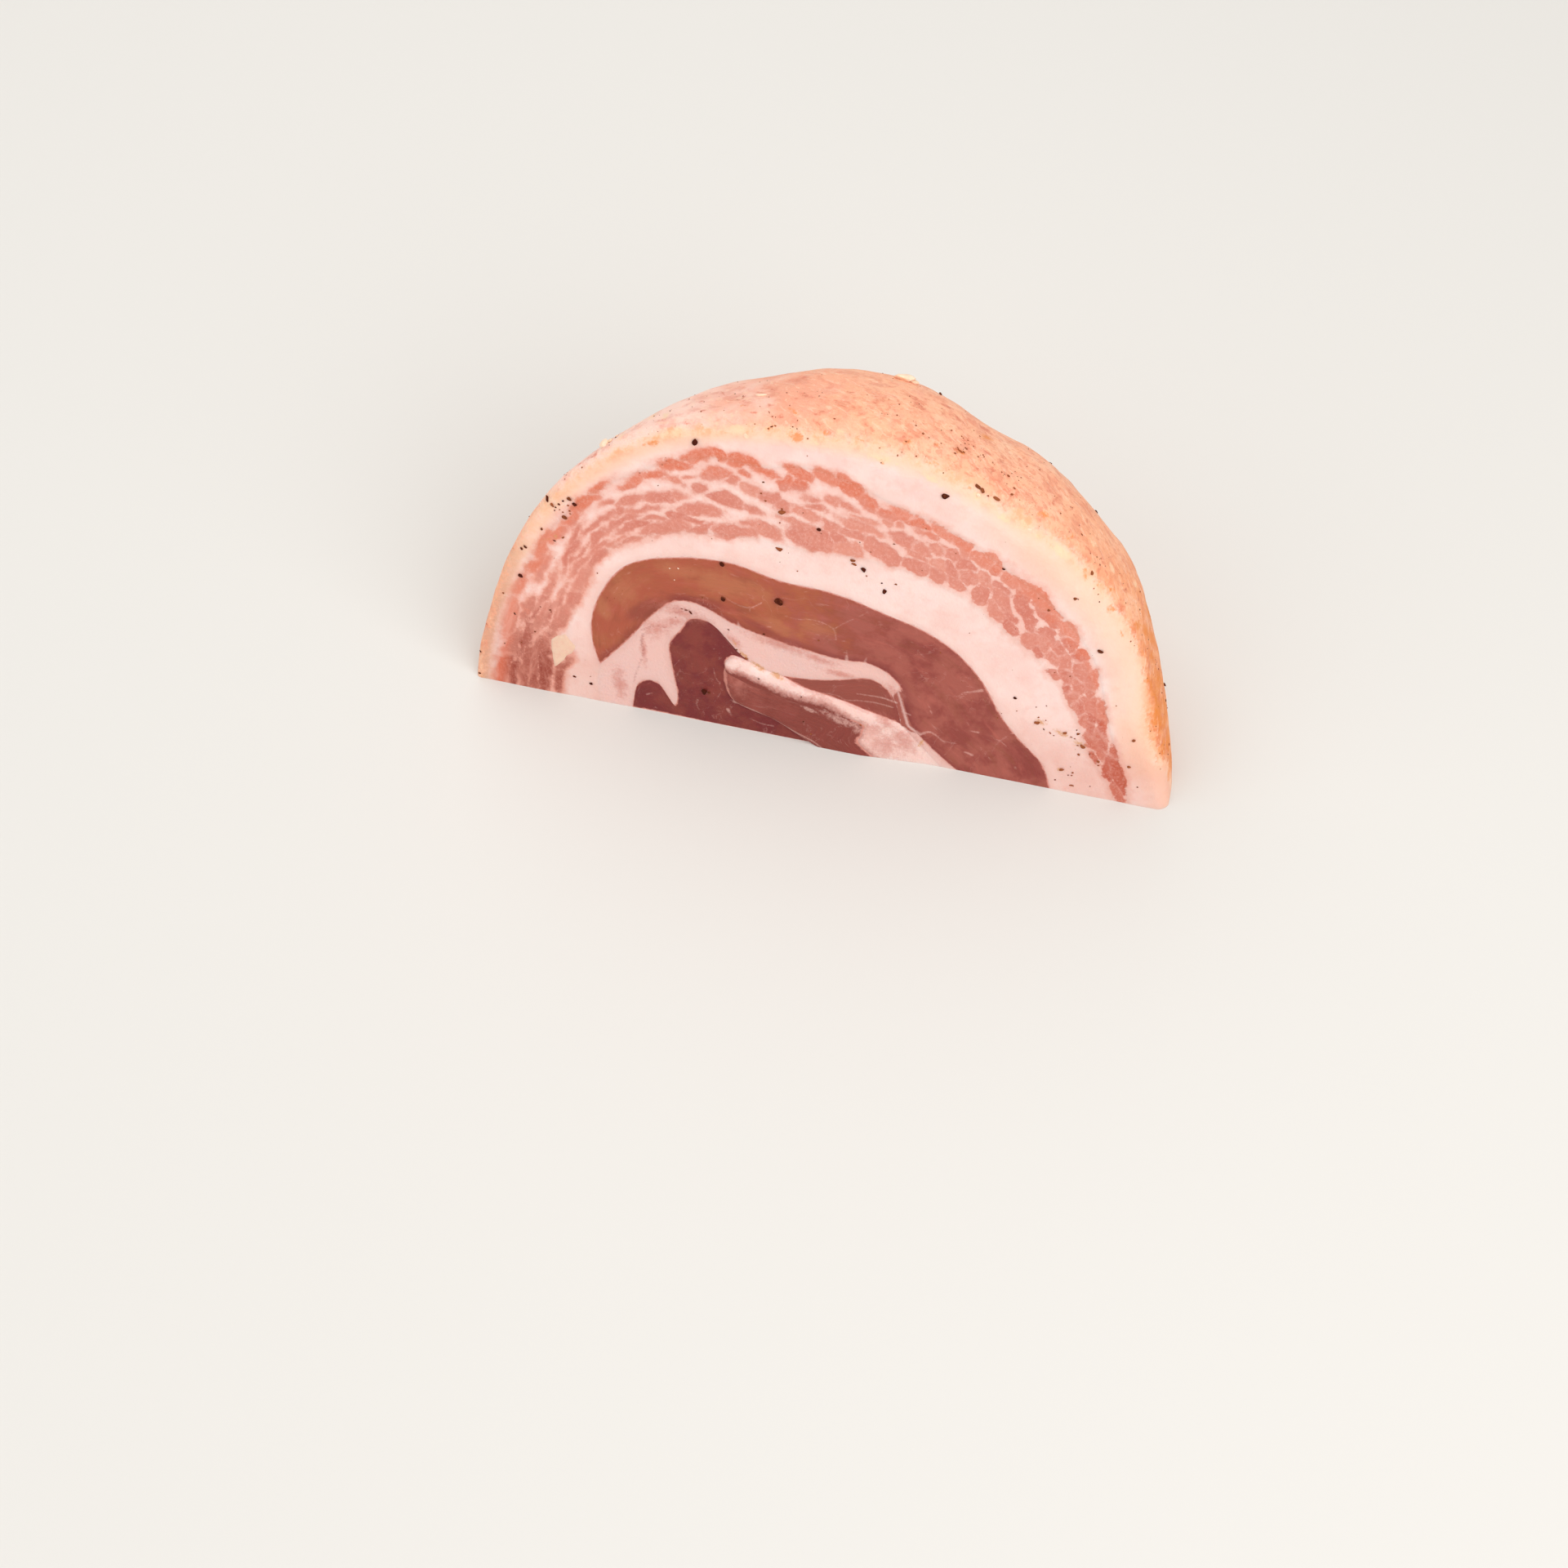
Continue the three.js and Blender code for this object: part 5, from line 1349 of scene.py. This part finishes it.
def skin_material(colours):
    """White fat on the face, creamy at the worn edge, and mottled skin from painted glare through peach to
    orange.

    The skin's notes are the distance past the end of the cut's white, the angle in degrees, and the distance
    past the place where the edge begins to round.
    """
    shader, place = new_material("Skin and fat")
    past, angle, run = attribute(place, "skin")
    share = attribute(place, "roll")[1]
    broad, middle, fine = noise(place, 0.085, 3, 0.6), noise(place, 0.3, 5, 0.65), noise(place, 1.1, 5, 0.7)
    sway = (middle - 0.5) * 5
    grit = fine - 0.5
    edge = past + sway

    sides = highest(ramp(angle, 78, 50), ramp(angle, 102, 124))
    wash = ramp(edge, -12, -1) * ramp(share, 0, -0.3) * sides * 0.6
    ground = mix(wash, white_fat_tone(place, colours)["Color"], colours.fat_cream)
    face = marbled_tone(place, colours, ground)[0]
    cream = painted(
        mix(ramp(angle, 138, 166), colours.fat_cream, colours.fat_left),
        (ramp(middle, 0.4, 0.7) * ramp(angle, 166, 146) * 0.45, colours.fat_white),
        (ramp(middle, 0.5, 0.34) * ramp(angle, 150, 130) * 0.36, colours.skin_orange),
        (ramp(share + grit * 0.2, -0.16, 0.02) * ramp(angle, 140, 155), face),
    )

    wide = (broad - 0.5) * 30 + angle
    front = ramp((broad - 0.5) * 24 + run, 40, 18)
    around = angle * -1.25
    wrinkled = combined(run * -0.3 + around * 0.55, run * 1.3 + around * 0.75)
    behind = noise(scaled(place, (0.5, 1, 1)), 0.8, 6, 0.7, 0.8)
    thin = (noise(wrinkled, 0.5, 6, 0.7, 0.8) - behind) * front + behind
    halo = ramp(noise(place, 0.21, 5, 0.62), 0.49, 0.64)
    strokes = ramp(thin, 0.55, 0.64) * (halo * 0.66 + 0.1) * ((ramp(wide, 54, 76) * 0.8 + 0.2) * 0.85)
    blotch = ramp(noise(place, 0.75, 5, 0.66, 0.6), 0.48, 0.64) * ramp(wide, 104, 80)
    peach = painted(
        mix(ramp(middle, 0.44, 0.68) * 0.5, colours.skin_peach, colours.skin_rose),
        (ramp(broad, 0.5, 0.66) * 0.5, colours.fat_cream),
        (ramp(wide, 88, 100) * ramp(wide, 124, 110) * front * 0.6, colours.skin_rose),
        # Painted highlight: pale glare laid on the front of the skin at the top left
        (ramp(wide, 101, 117) * ramp(wide, 150, 134) * front * 0.85, colours.skin_painted_glare),
        (ramp(wide, 62, 14) * ramp(middle, 0.16, 0.7) * (front * 0.6 + 0.4), colours.skin_orange),
        (halo * 0.34, colours.skin_stroke),
        (strokes, colours.skin_stroke),
        (blotch * 0.42, colours.skin_stroke),
        (ramp(thin, 0.47, 0.37) * 0.5, colours.skin_glow),
    )

    begin = edge + ramp(angle, 58, 30) * 1.4 + grit * 5
    orange, red, butter = attribute(place, "skin_marks")
    blot = grit * 2.4 + sway * 0.3
    tone = painted(
        face,
        (ramp(edge, -2.2, 1.4), cream),
        (ramp(begin, 1.4, 4), peach),
        (ramp(butter + blot, -0.1, 0.8) * 0.75, colours.fat_butter),
        (ramp(orange + blot, -0.1, 0.8) * 0.75, colours.skin_orange),
        (ramp(red + blot, -0.1, 0.8) * 0.58, colours.skin_red),
    )
    crinkled = ramp(past, -1, 4) * (fine + thin)
    set_shader(shader, tone, crinkled + middle * 0.8, 0.6, 0.5, 0.55, 0.2, 2, 0.15)


def pepper_material(colours):
    """Cracked pepper: near black husk and brown broken faces, browner in some grains than in others."""
    shader, place = new_material("Pepper")
    patchy = swing(place, 1.8) * 1.1 + attribute(place, "brown")[0]
    tone = mix(ramp(patchy, 0.1, 1), colours.pepper, colours.pepper_heart)
    set_shader(shader, tone, noise(place, 5), 0.6, 0.12, 0.75, specular=0.12)


def crumb_material(name, colours, main):
    """Crumbs and flakes of fat: cream, a little translucent."""
    shader, place = new_material(name)
    fat = white_fat_tone(place, colours, main)
    worn = ramp(noise(place, 0.7, 5, 0.7), 0.42, 0.62) * 0.3
    tone = mix(0.25, mix(worn, main, colours.fat_veil), fat["Color"])
    set_shader(shader, tone, fat["Height"], 0.5, 0.2, 0.5, 0.2, 1)


# Pepper and crumbs


def draws_from(seed):
    """Repeatable draws between 0 and 1: each state is the last one times a factor, within a range."""
    while True:
        seed = seed * DRAW_FACTOR % DRAW_RANGE
        yield seed / DRAW_RANGE


def between(pair, share):
    """The value at a share of the way from the first of a pair to the second."""
    return pair[0] + (pair[1] - pair[0]) * share


def skin_spot(angle, back):
    """A place on the skin and the way that the skin faces there."""
    step = 0.02
    place, beside, behind = (
        end_surface(rim_at, ROLL_DEPTH, np.array(a), np.array(b))
        for a, b in ((angle, back), (angle + step, back), (angle, back + step))
    )
    normal = np.cross(behind - place, beside - place)
    return place, normal / np.linalg.norm(normal)


def skin_spots():
    """Rows of the grains and the flakes on the back of the skin, by the draws that the solids use.

    The draws for the front are made and left out, because the tables hold what lies there.
    """
    draw = draws_from(GRAIN_SEED)
    grains, flakes = [], []
    for i in range(SKIN_GRAINS + SKIN_FLAKES):
        angle = math.radians(between(SKIN_ANGLES, next(draw)))
        back = between(SKIN_BACKS, next(draw) ** SKIN_GATHER)
        place, normal = skin_spot(angle, back)
        radius = between(GRAIN_RADIUS, next(draw) ** SMALL_GATHER)
        hidden = back >= FRONT_BACK or not FRONT_ANGLES[0] < math.degrees(angle) < FRONT_ANGLES[1]
        if i < SKIN_GRAINS:
            next(draw)  # the depth of the solids' grain
            width = between(GRAIN_WIDTH, next(draw))
            first, second = math.pi * next(draw), math.pi * next(draw)
            if hidden:
                size = radius * SEEN_SIZE
                raised = place + normal * radius * GRAIN_LIFT
                grains.append((*raised, size, size * width, math.degrees(first), second % BROWNEST))
        else:
            turn = math.degrees(math.pi * next(draw))
            if hidden:
                flakes.append((*place, *FLAKE_HALF_SIZE, turn))
    return grains, flakes


def cracked(count, subdivisions, cuts, chance, depth=(0.5, 0.85)):
    """Many copies of a ball, each pared by its own planes: what lies past a plane moves back onto it.

    Each copy is then scaled along its axes until it reaches 1 there.
    """
    work = bmesh.new()
    bmesh.ops.create_icosphere(work, subdivisions=subdivisions, radius=1)
    ball = np.array([v.co[:] for v in work.verts])
    faces = np.array([[v.index for v in f.verts] for f in work.faces])
    work.free()
    points = np.repeat(ball[None], count, axis=0)
    for _ in range(cuts):
        way = chance.normal(size=(count, 3))
        way /= np.linalg.norm(way, axis=1, keepdims=True)
        past = np.einsum("cpk,ck->cp", points, way) - chance.uniform(*depth, count)[:, None]
        points -= np.clip(past, 0, None)[..., None] * way[:, None]
    return points / np.abs(points).max(axis=1, keepdims=True), faces


def settled(places):
    """The nearest places on the layers' surfaces, in metres, and the ways that they face there."""
    carriers = [bpy.data.objects[label] for label in CARRIERS]
    found = []
    for place in to_metres(places):
        hits = [carrier.closest_point_on_mesh(place)[1:3] for carrier in carriers]
        spot, normal = min(hits, key=lambda hit: (hit[0] - Vector(place)).length)
        found.append((spot[:], normal[:]))
    return np.array(found).transpose(1, 0, 2)


def strewn(name, rows, shape, flatness, sink, material, brown=None):
    """One mesh of small bodies laid on the surface: each is its frame times its shape, at its place.

    A row holds the place, the half length, the half width and the turn. The frame's axes are the turned way
    across, the way beside it, and the surface's normal, scaled by the half sizes and by the flatness.
    """
    points, faces = shape
    spots, normals = settled(rows[:, :3])
    beside = np.cross(normals, (1.0, 0.0, 0.0))
    beside /= np.linalg.norm(beside, axis=1, keepdims=True)
    along = np.cross(beside, normals)
    turn = np.radians(rows[:, 5])[:, None]
    first = along * np.cos(turn) - beside * np.sin(turn)
    second = along * np.sin(turn) + beside * np.cos(turn)
    height = rows[:, 4] * flatness
    sizes = np.stack([rows[:, 3], rows[:, 4], height], axis=1) * MM
    frames = np.stack([first, second, normals], axis=-1) * sizes[:, None]
    middles = spots + normals * (height * (1 - sink) * MM)[:, None]
    copies = np.einsum("cij,cpj->cpi", frames, points) + middles[:, None]
    numbers = faces[None] + (np.arange(len(rows)) * points.shape[1])[:, None, None]
    mesh = bpy.data.meshes.new(name)
    mesh.from_pydata(copies.reshape(-1, 3).tolist(), [], numbers.reshape(-1, faces.shape[1]).tolist())
    if brown is not None:
        noted(mesh, "brown", np.repeat(brown, 3 * points.shape[1]))
    piece = place_piece(name, mesh, material)
    return piece


def build_grains(chance):
    """Cracked grains where they lie on the face and the skin."""
    grains = np.array([*PEPPER, *skin_spots()[0]])
    shape = cracked(len(grains), 2, 9, chance, (0.4, 0.85))
    strewn("pepper_grains", grains[:, :6], shape, 0.62, 0.42, "Pepper", grains[:, 6])


def build_specks(chance):
    """Fine specks between the grains, strewn evenly and in gatherings; some are moved onto the face."""
    sizes = bpy.context.scene.pancetta_sizes
    count = sizes.speck_count
    angle = [np.radians(chance.uniform(4, 176, count))]
    back = [chance.uniform(0.0, 0.92, count) ** 1.5]
    for middle, past, wide, long, number in SPECK_GATHERINGS:
        angle.append(np.radians(np.clip(chance.normal(middle, wide, number), 1.5, 178.5)))
        back.append(np.clip(chance.normal(past, long, number), 0, 55) / ROLL_DEPTH)
    angle, back = np.concatenate(angle), np.concatenate(back)
    spots = end_surface(rim_at, ROLL_DEPTH, angle, back)
    number = len(angle)
    inward = (chance.random(number) < 0.3) & (np.arange(number) < count)
    radius = rim_at(angle) * chance.uniform(0.5, 0.93, number)
    spots[inward] = turned(radius, angle)[inward]
    half = 0.8 * sizes.speck_size / MM * chance.uniform(0.35, 1.1, number) ** 1.3
    width = half * chance.uniform(0.4, 1, number)
    rows = np.column_stack([spots, half, width, chance.uniform(0, 180, number)])
    brown = 0.7 + 0.5 * chance.uniform(0, 1, number)
    strewn("pepper_specks", rows, cracked(number, 1, 4, chance), 0.7, 0.4, "Pepper", brown)


def build_crumbs():
    """Crumbs of fat on the skin."""
    rows = np.array([*CRUMBS, *skin_spots()[1]])
    shape = cracked(len(rows), 3, 8, np.random.default_rng(CRUMB_SEED), (0.45, 0.8))
    piece = strewn("fat_crumbs", rows, shape, 0.55, 0.45, "Fat crumbs")
    smoothed(piece.data, 35)


def build_flake():
    """The flat flake on the face: its four corners blended, ragged by small waves, rounded at the edge."""
    corners = np.array(FLAKE_CORNERS, float)
    u, v = np.meshgrid(np.linspace(0, 1, FLAKE_STEPS), np.linspace(0, 1, FLAKE_STEPS), indexing="ij")
    rounded = (1 - np.abs(2 * u - 1) ** 8) * (1 - np.abs(2 * v - 1) ** 8)
    u, v = u[..., None], v[..., None]
    flat = (corners[0] * (1 - u) + corners[1] * u) * (1 - v) + (corners[3] * (1 - u) + corners[2] * u) * v
    flat = flat + 0.22 * np.stack([wander(1.1, *np.moveaxis(flat, -1, 0), seed=k) for k in (1, 2)], axis=-1)
    under = face_wave(flat) - 0.12
    top = under + rounded * (0.3 + 0.06 * wander(2.2, flat[..., 0], flat[..., 1], seed=6))
    grids = [(np.concatenate([flat, height[..., None]], axis=-1), {}) for height in (top, under)]
    closed_piece("fat_flake", grids, "Fat flake")


# Operators


class PancettaOperator:
    """What the operators share."""

    bl_options = {"REGISTER", "UNDO"}

    def execute(self, context):
        self.build()
        return {"FINISHED"}


class PANCETTA_OT_finishes(PancettaOperator, bpy.types.Operator):
    """Make the shared effects and the materials"""

    bl_idname = "pancetta.finishes"
    bl_label = "Finishes"

    def build(self):
        for name, parts in EFFECTS.items():
            new_effect(name, *parts)
        tones = bpy.context.scene.pancetta_colours
        white_fat_material("White fat", tones, tones.fat_pink)
        white_fat_material("Flap fat", tones, tones.fat_white, tones.lean_flap)
        marbled_material("Marbled lean", tones)
        marbled_material("Band fat", tones, gap=True)
        skin_material(tones)
        pepper_material(tones)
        crumb_material("Fat crumbs", tones, tones.fat_crumb)
        crumb_material("Fat flake", tones, tones.fat_flake)
        lean_material(
            "Tan lean", tones, tones.lean_mauve, tones.lean_tan, (tones.lean_plum, tones.lean_olive),
            BAND_GRAIN, switch=(0.36, 0.6), hem=0.5,
        )
        lean_material(
            "Wine lean", tones, tones.lean_wine, tones.lean_wine, (tones.lean_umber, tones.lean_umber),
            CORE_GRAIN,
        )
        lean_material(
            "Lens lean", tones, tones.lean_lens, tones.lean_lens, (tones.lean_plum, tones.lean_mauve),
            FLAP_GRAIN,
        )
        lean_material(
            "Flap lean", tones, tones.lean_flap, tones.lean_flap, (tones.lean_mauve, tones.lean_plum),
            FLAP_GRAIN, edge=(0.2, 0.7, 1.6), open_until=0.6,
        )


class PANCETTA_OT_outer_fat(PancettaOperator, bpy.types.Operator):
    """Build the skin and the fat under it"""

    bl_idname = "pancetta.outer_fat"
    bl_label = "Outer fat"

    def build(self):
        """A profile carried round by angle: over the face, round the rim, down the back, and back inside."""
        angle = np.linspace(0, math.pi, ROUND_STEPS)[:, None]
        band = np.linspace(0, 1, BAND_STEPS)[None, :-1]
        turn = np.linspace(0, math.pi / 2, RIM_STEPS)[None, :-1]
        worn, fat_inner = rim_round_at(angle), fat_inner_at(angle)
        edge = rim_at(angle) - worn
        first_back = worn / ROLL_DEPTH
        back = first_back + (1 - first_back) * np.sin(np.linspace(0, 1, BACK_STEPS)[None] * math.pi / 2)
        dome = end_surface(rim_at, ROLL_DEPTH, angle, back)
        shoulder = np.hypot(dome[:, :1, 0] - POLE_SHIFT * first_back, dome[:, :1, 1])

        face = turned(fat_inner * (1 - band) + edge * band, angle)
        face[..., 2] = face_wave(face)
        sunk = worn * (1 - np.cos(turn))
        rounding = turned(edge + (shoulder - edge) * np.sin(turn), angle, -sunk)
        rounding[..., 0] += POLE_SHIFT * sunk / ROLL_DEPTH
        rounding[..., 2] += np.cos(turn) * face_wave(rounding)
        outer = np.concatenate([face, rounding, dome], axis=1)
        beyond = worn * math.pi / 2 + (back - first_back) * ROLL_DEPTH
        run = np.concatenate([(band - 1) * (edge - fat_inner), turn * worn, beyond], axis=1)
        outer = self.dimpled(outer, run)
        outer[..., 0] = np.clip(outer[..., 0], CAD_LOW[0] / MM, CAD_HIGH[0] / MM)

        inner_back = np.linspace(0, 1, outer.shape[1])[None] ** 1.5
        inner = end_surface(fat_inner_at, ROLL_DEPTH - SKIN_DEPTH, angle, inner_back)
        inner[..., 2] = np.minimum(inner[..., 2], outer[:, :1, 2])
        inner[:, 0] = outer[:, 0]
        round_by = angle + 0 * run
        notes = {
            "skin": np.stack([run - skin_start_at(angle), np.degrees(round_by), run], axis=-1),
            "skin_marks": skin_marks(round_by, run),
            **marbled_notes(outer),
        }
        grids = [(outer, notes), (inner, notes), *walls(outer, inner, notes, (0, -1))]
        piece = closed_piece("skin_and_fat", grids, "Skin and fat")
        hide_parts("outer_fat")

    @staticmethod
    def dimpled(points, run):
        """Sinks the skin toward the middle of the cut by two sizes of random dimples, but not the face."""
        x, y, z = np.moveaxis(points, -1, 0)
        depth = bpy.context.scene.pancetta_sizes.skin_relief / MM
        sink = depth * (0.35 + 0.45 * wander(11, x, y, z) + 0.2 * wander(3.5, x, y, z, seed=3))
        sink = np.clip(sink, 0, None) * np.clip(run / 4, 0, 1)
        away = points - np.array([POLE_SHIFT, 0, 0])
        return points - away / np.linalg.norm(away, axis=-1, keepdims=True) * sink[..., None]


class PANCETTA_OT_marbled_lean(PancettaOperator, bpy.types.Operator):
    """Build the marbled lean under the outer fat"""

    bl_idname = "pancetta.marbled_lean"
    bl_label = "Marbled lean"

    def build(self):
        patch = ruled_patch("marbled_band", ring(fat_inner_at), ring(marbled_inner_at))[0]
        notes = marbled_notes(patch)
        layer_piece("marbled_band", "marbled_lean", "marbled_lean", "Marbled lean", patch, notes)


class PANCETTA_OT_middle_fat(PancettaOperator, bpy.types.Operator):
    """Build the white fat between the two bands of lean"""

    bl_idname = "pancetta.middle_fat"
    bl_label = "Middle fat"

    def build(self):
        inner = chain(lean_rim(), spline(HOOK_SIDE)[::-1])
        patch, notes = noted_patch("white_band", ring(marbled_inner_at), inner)
        notes.update(marbled_notes(patch))
        layer_piece("white_band", "middle_fat", "white_fat", "Band fat", patch, notes)


class PANCETTA_OT_inner_lean(PancettaOperator, bpy.types.Operator):
    """Build the tan and mauve lean inside the middle fat"""

    bl_idname = "pancetta.inner_lean"
    bl_label = "Inner lean"

    def build(self):
        patch = noted_patch("tan_band", lean_rim(), spline(FOLD)[::-1])
        layer_piece("tan_band", "inner_lean", "tan_lean", "Tan lean", *patch)


class PANCETTA_OT_inner_fat(PancettaOperator, bpy.types.Operator):
    """Build the hook of fat that folds over the core"""

    bl_idname = "pancetta.inner_fat"
    bl_label = "Inner fat"

    def build(self):
        outer = chain(spline(FOLD)[::-1], spline(HOOK_SIDE)[::-1])
        inner = chain(spline(THREAD), spline(LENS_TOP), spline(ARM), spline(TONGUE))
        patch = noted_patch("fat_hook", outer, inner, INNER_FAT_PAIRS, INNER_FAT_BEND)
        layer_piece("fat_hook", "inner_fat", "white_fat", "White fat", *patch)


class PANCETTA_OT_core(PancettaOperator, bpy.types.Operator):
    """Build the dark lean of the core and the lens of lean above the flap"""

    bl_idname = "pancetta.core"
    bl_label = "Core"

    def build(self):
        base = np.linspace(TONGUE[-1], FLAP_UNDER[-1], BASE_STEPS)
        right = chain(base, spline(FLAP_UNDER)[::-1], spline(FLAP_NOSE)[::-1])
        patch = noted_patch("dark_core", spline(TONGUE)[::-1], right, CORE_PAIRS)
        layer_piece("dark_core", "core_lean", "dark_lean", "Wine lean", *patch)
        patch = noted_patch("lens", spline(LENS_TOP), spline(LENS_BOTTOM))
        layer_piece("lens", "lens_lean", "dark_lean", "Lens lean", *patch)


class PANCETTA_OT_flap(PancettaOperator, bpy.types.Operator):
    """Build the loose flap: its fat edge and its lean, proud of the face"""

    bl_idname = "pancetta.flap"
    bl_label = "Flap"

    def build(self):
        top = chain(*(spline(line)[::-1] for line in (FLAP_NOSE, ARM, LENS_BOTTOM, THREAD)))
        patch, notes = noted_patch("flap_edge", top, spline(FLAP_SEAM), FLAP_FAT_PAIRS)
        raised = self.raised(patch, notes["band"][..., 1])
        layer_piece("flap_edge", "flap_fat", "white_fat", "Flap fat", patch, notes, raised)
        patch, notes = noted_patch("flap_meat", spline(FLAP_SEAM), spline(FLAP_UNDER))
        raised = self.raised(patch, notes["band"][..., 2])
        layer_piece("flap_meat", "flap_lean", "tan_lean", "Flap lean", patch, notes, raised)

    @staticmethod
    def raised(patch, edge):
        """Height of the flap over the face: full within, round at its edge, and nothing at the right."""
        lift = np.sqrt(1 - (1 - np.clip(edge / FLAP_EDGE, 0, 1)) ** 2)
        level = np.clip((FLAP_END - patch[..., 0]) / FLAP_RUN, 0, 1)
        return FLAP_HEIGHT * lift * level


class PANCETTA_OT_pepper(PancettaOperator, bpy.types.Operator):
    """Strew cracked pepper over the skin and the face"""

    bl_idname = "pancetta.pepper"
    bl_label = "Pepper"

    def build(self):
        chance = np.random.default_rng(PEPPER_SEED)
        build_grains(chance)
        build_specks(chance)


class PANCETTA_OT_crumbs(PancettaOperator, bpy.types.Operator):
    """Lay the crumbs and the flake of fat on the surface"""

    bl_idname = "pancetta.crumbs"
    bl_label = "Crumbs of fat"

    def build(self):
        build_crumbs()
        build_flake()


class PANCETTA_OT_stage(PancettaOperator, bpy.types.Operator):
    """Set the floor, the lights and the camera"""

    bl_idname = "pancetta.stage"
    bl_label = "Stage"

    def build(self):
        scene = bpy.context.scene
        stage = scene.pancetta_stage
        self.floor(stage)
        for name, place in LIGHT_PLACES.items():
            self.light(name, place, getattr(stage, f"{name}_power"))
        scene.world = bpy.data.worlds.new("studio")
        scene.world.use_nodes = True
        background = scene.world.node_tree.nodes["Background"]
        background.inputs["Color"].default_value = WORLD_COLOUR
        background.inputs["Strength"].default_value = WORLD_STRENGTH
        scene.view_settings.view_transform = "Standard"
        self.camera(stage)

    @staticmethod
    def floor(stage):
        """A wide flat floor just under the base."""
        mesh = bpy.data.meshes.new("floor")
        corners = [(x * FLOOR_REACH, y * FLOOR_REACH, 0) for x, y in ((-1, -1), (1, -1), (1, 1), (-1, 1))]
        mesh.from_pydata(corners, [], [(0, 1, 2, 3)])
        floor = bpy.data.objects.new("floor", mesh)
        material = bpy.data.materials.new("floor")
        material.use_nodes = True
        shader = material.node_tree.nodes["Principled BSDF"]
        shader.inputs["Base Color"].default_value = (*stage.floor, 1)
        shader.inputs["Roughness"].default_value = 0.7
        mesh.materials.append(material)
        bpy.context.scene.collection.objects.link(floor)
        floor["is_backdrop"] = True

    @staticmethod
    def light(name, place, watts):
        """A soft square light that faces the object."""
        data = bpy.data.lights.new(name, "AREA")
        data.size = LIGHT_SIZE
        data.energy = watts
        lamp = bpy.data.objects.new(name, data)
        lamp.location = place
        lamp.rotation_euler = (Vector(LIGHT_AIM) - lamp.location).to_track_quat("-Z", "Y").to_euler()
        bpy.context.scene.collection.objects.link(lamp)

    @staticmethod
    def camera(stage):
        """A camera above and in front, turned a little to the left and pitched well down."""
        data = bpy.data.cameras.new("camera")
        data.lens = stage.lens
        data.sensor_width = SENSOR_WIDTH
        camera = bpy.data.objects.new("camera", data)
        camera.location = (CAMERA_PLACE[0], FRONT + CAMERA_PLACE[1], CAMERA_PLACE[2])
        camera.rotation_euler = (math.pi / 2 - CAMERA_PITCH, 0, CAMERA_TURN)
        bpy.context.scene.collection.objects.link(camera)
        bpy.context.scene.camera = camera


class PANCETTA_PT_panel(bpy.types.Panel):
    """Lists the settings and the steps"""

    bl_idname = "PANCETTA_PT_panel"
    bl_label = "Pancetta"
    bl_space_type = "VIEW_3D"
    bl_region_type = "UI"
    bl_category = "Pancetta"

    def draw(self, context):
        for name in GROUPS:
            group = getattr(context.scene, name)
            box = self.layout.box()
            for label in group.__annotations__:
                box.prop(group, label)
        for step in STEPS:
            self.layout.operator(step.bl_idname)


GROUPS = {
    "pancetta_sizes": PancettaSizes,
    "pancetta_colours": PancettaColours,
    "pancetta_stage": PancettaStage,
}
STEPS = (
    PANCETTA_OT_stage,
    PANCETTA_OT_finishes,
    PANCETTA_OT_outer_fat,
    PANCETTA_OT_marbled_lean,
    PANCETTA_OT_middle_fat,
    PANCETTA_OT_inner_lean,
    PANCETTA_OT_inner_fat,
    PANCETTA_OT_core,
    PANCETTA_OT_flap,
    PANCETTA_OT_pepper,
    PANCETTA_OT_crumbs,
)


def register():
    for name, group in GROUPS.items():
        bpy.utils.register_class(group)
        setattr(bpy.types.Scene, name, bpy.props.PointerProperty(type=group))
    for item in (*STEPS, PANCETTA_PT_panel):
        bpy.utils.register_class(item)


def unregister():
    for item in (PANCETTA_PT_panel, *reversed(STEPS)):
        bpy.utils.unregister_class(item)
    for name, group in GROUPS.items():
        delattr(bpy.types.Scene, name)
        bpy.utils.unregister_class(group)


def main():
    """Registers the classes and takes the steps in order."""
    register()
    for step in STEPS:
        area, name = step.bl_idname.split(".")
        getattr(getattr(bpy.ops, area), name)()
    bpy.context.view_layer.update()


if __name__ == "__main__":
    main()
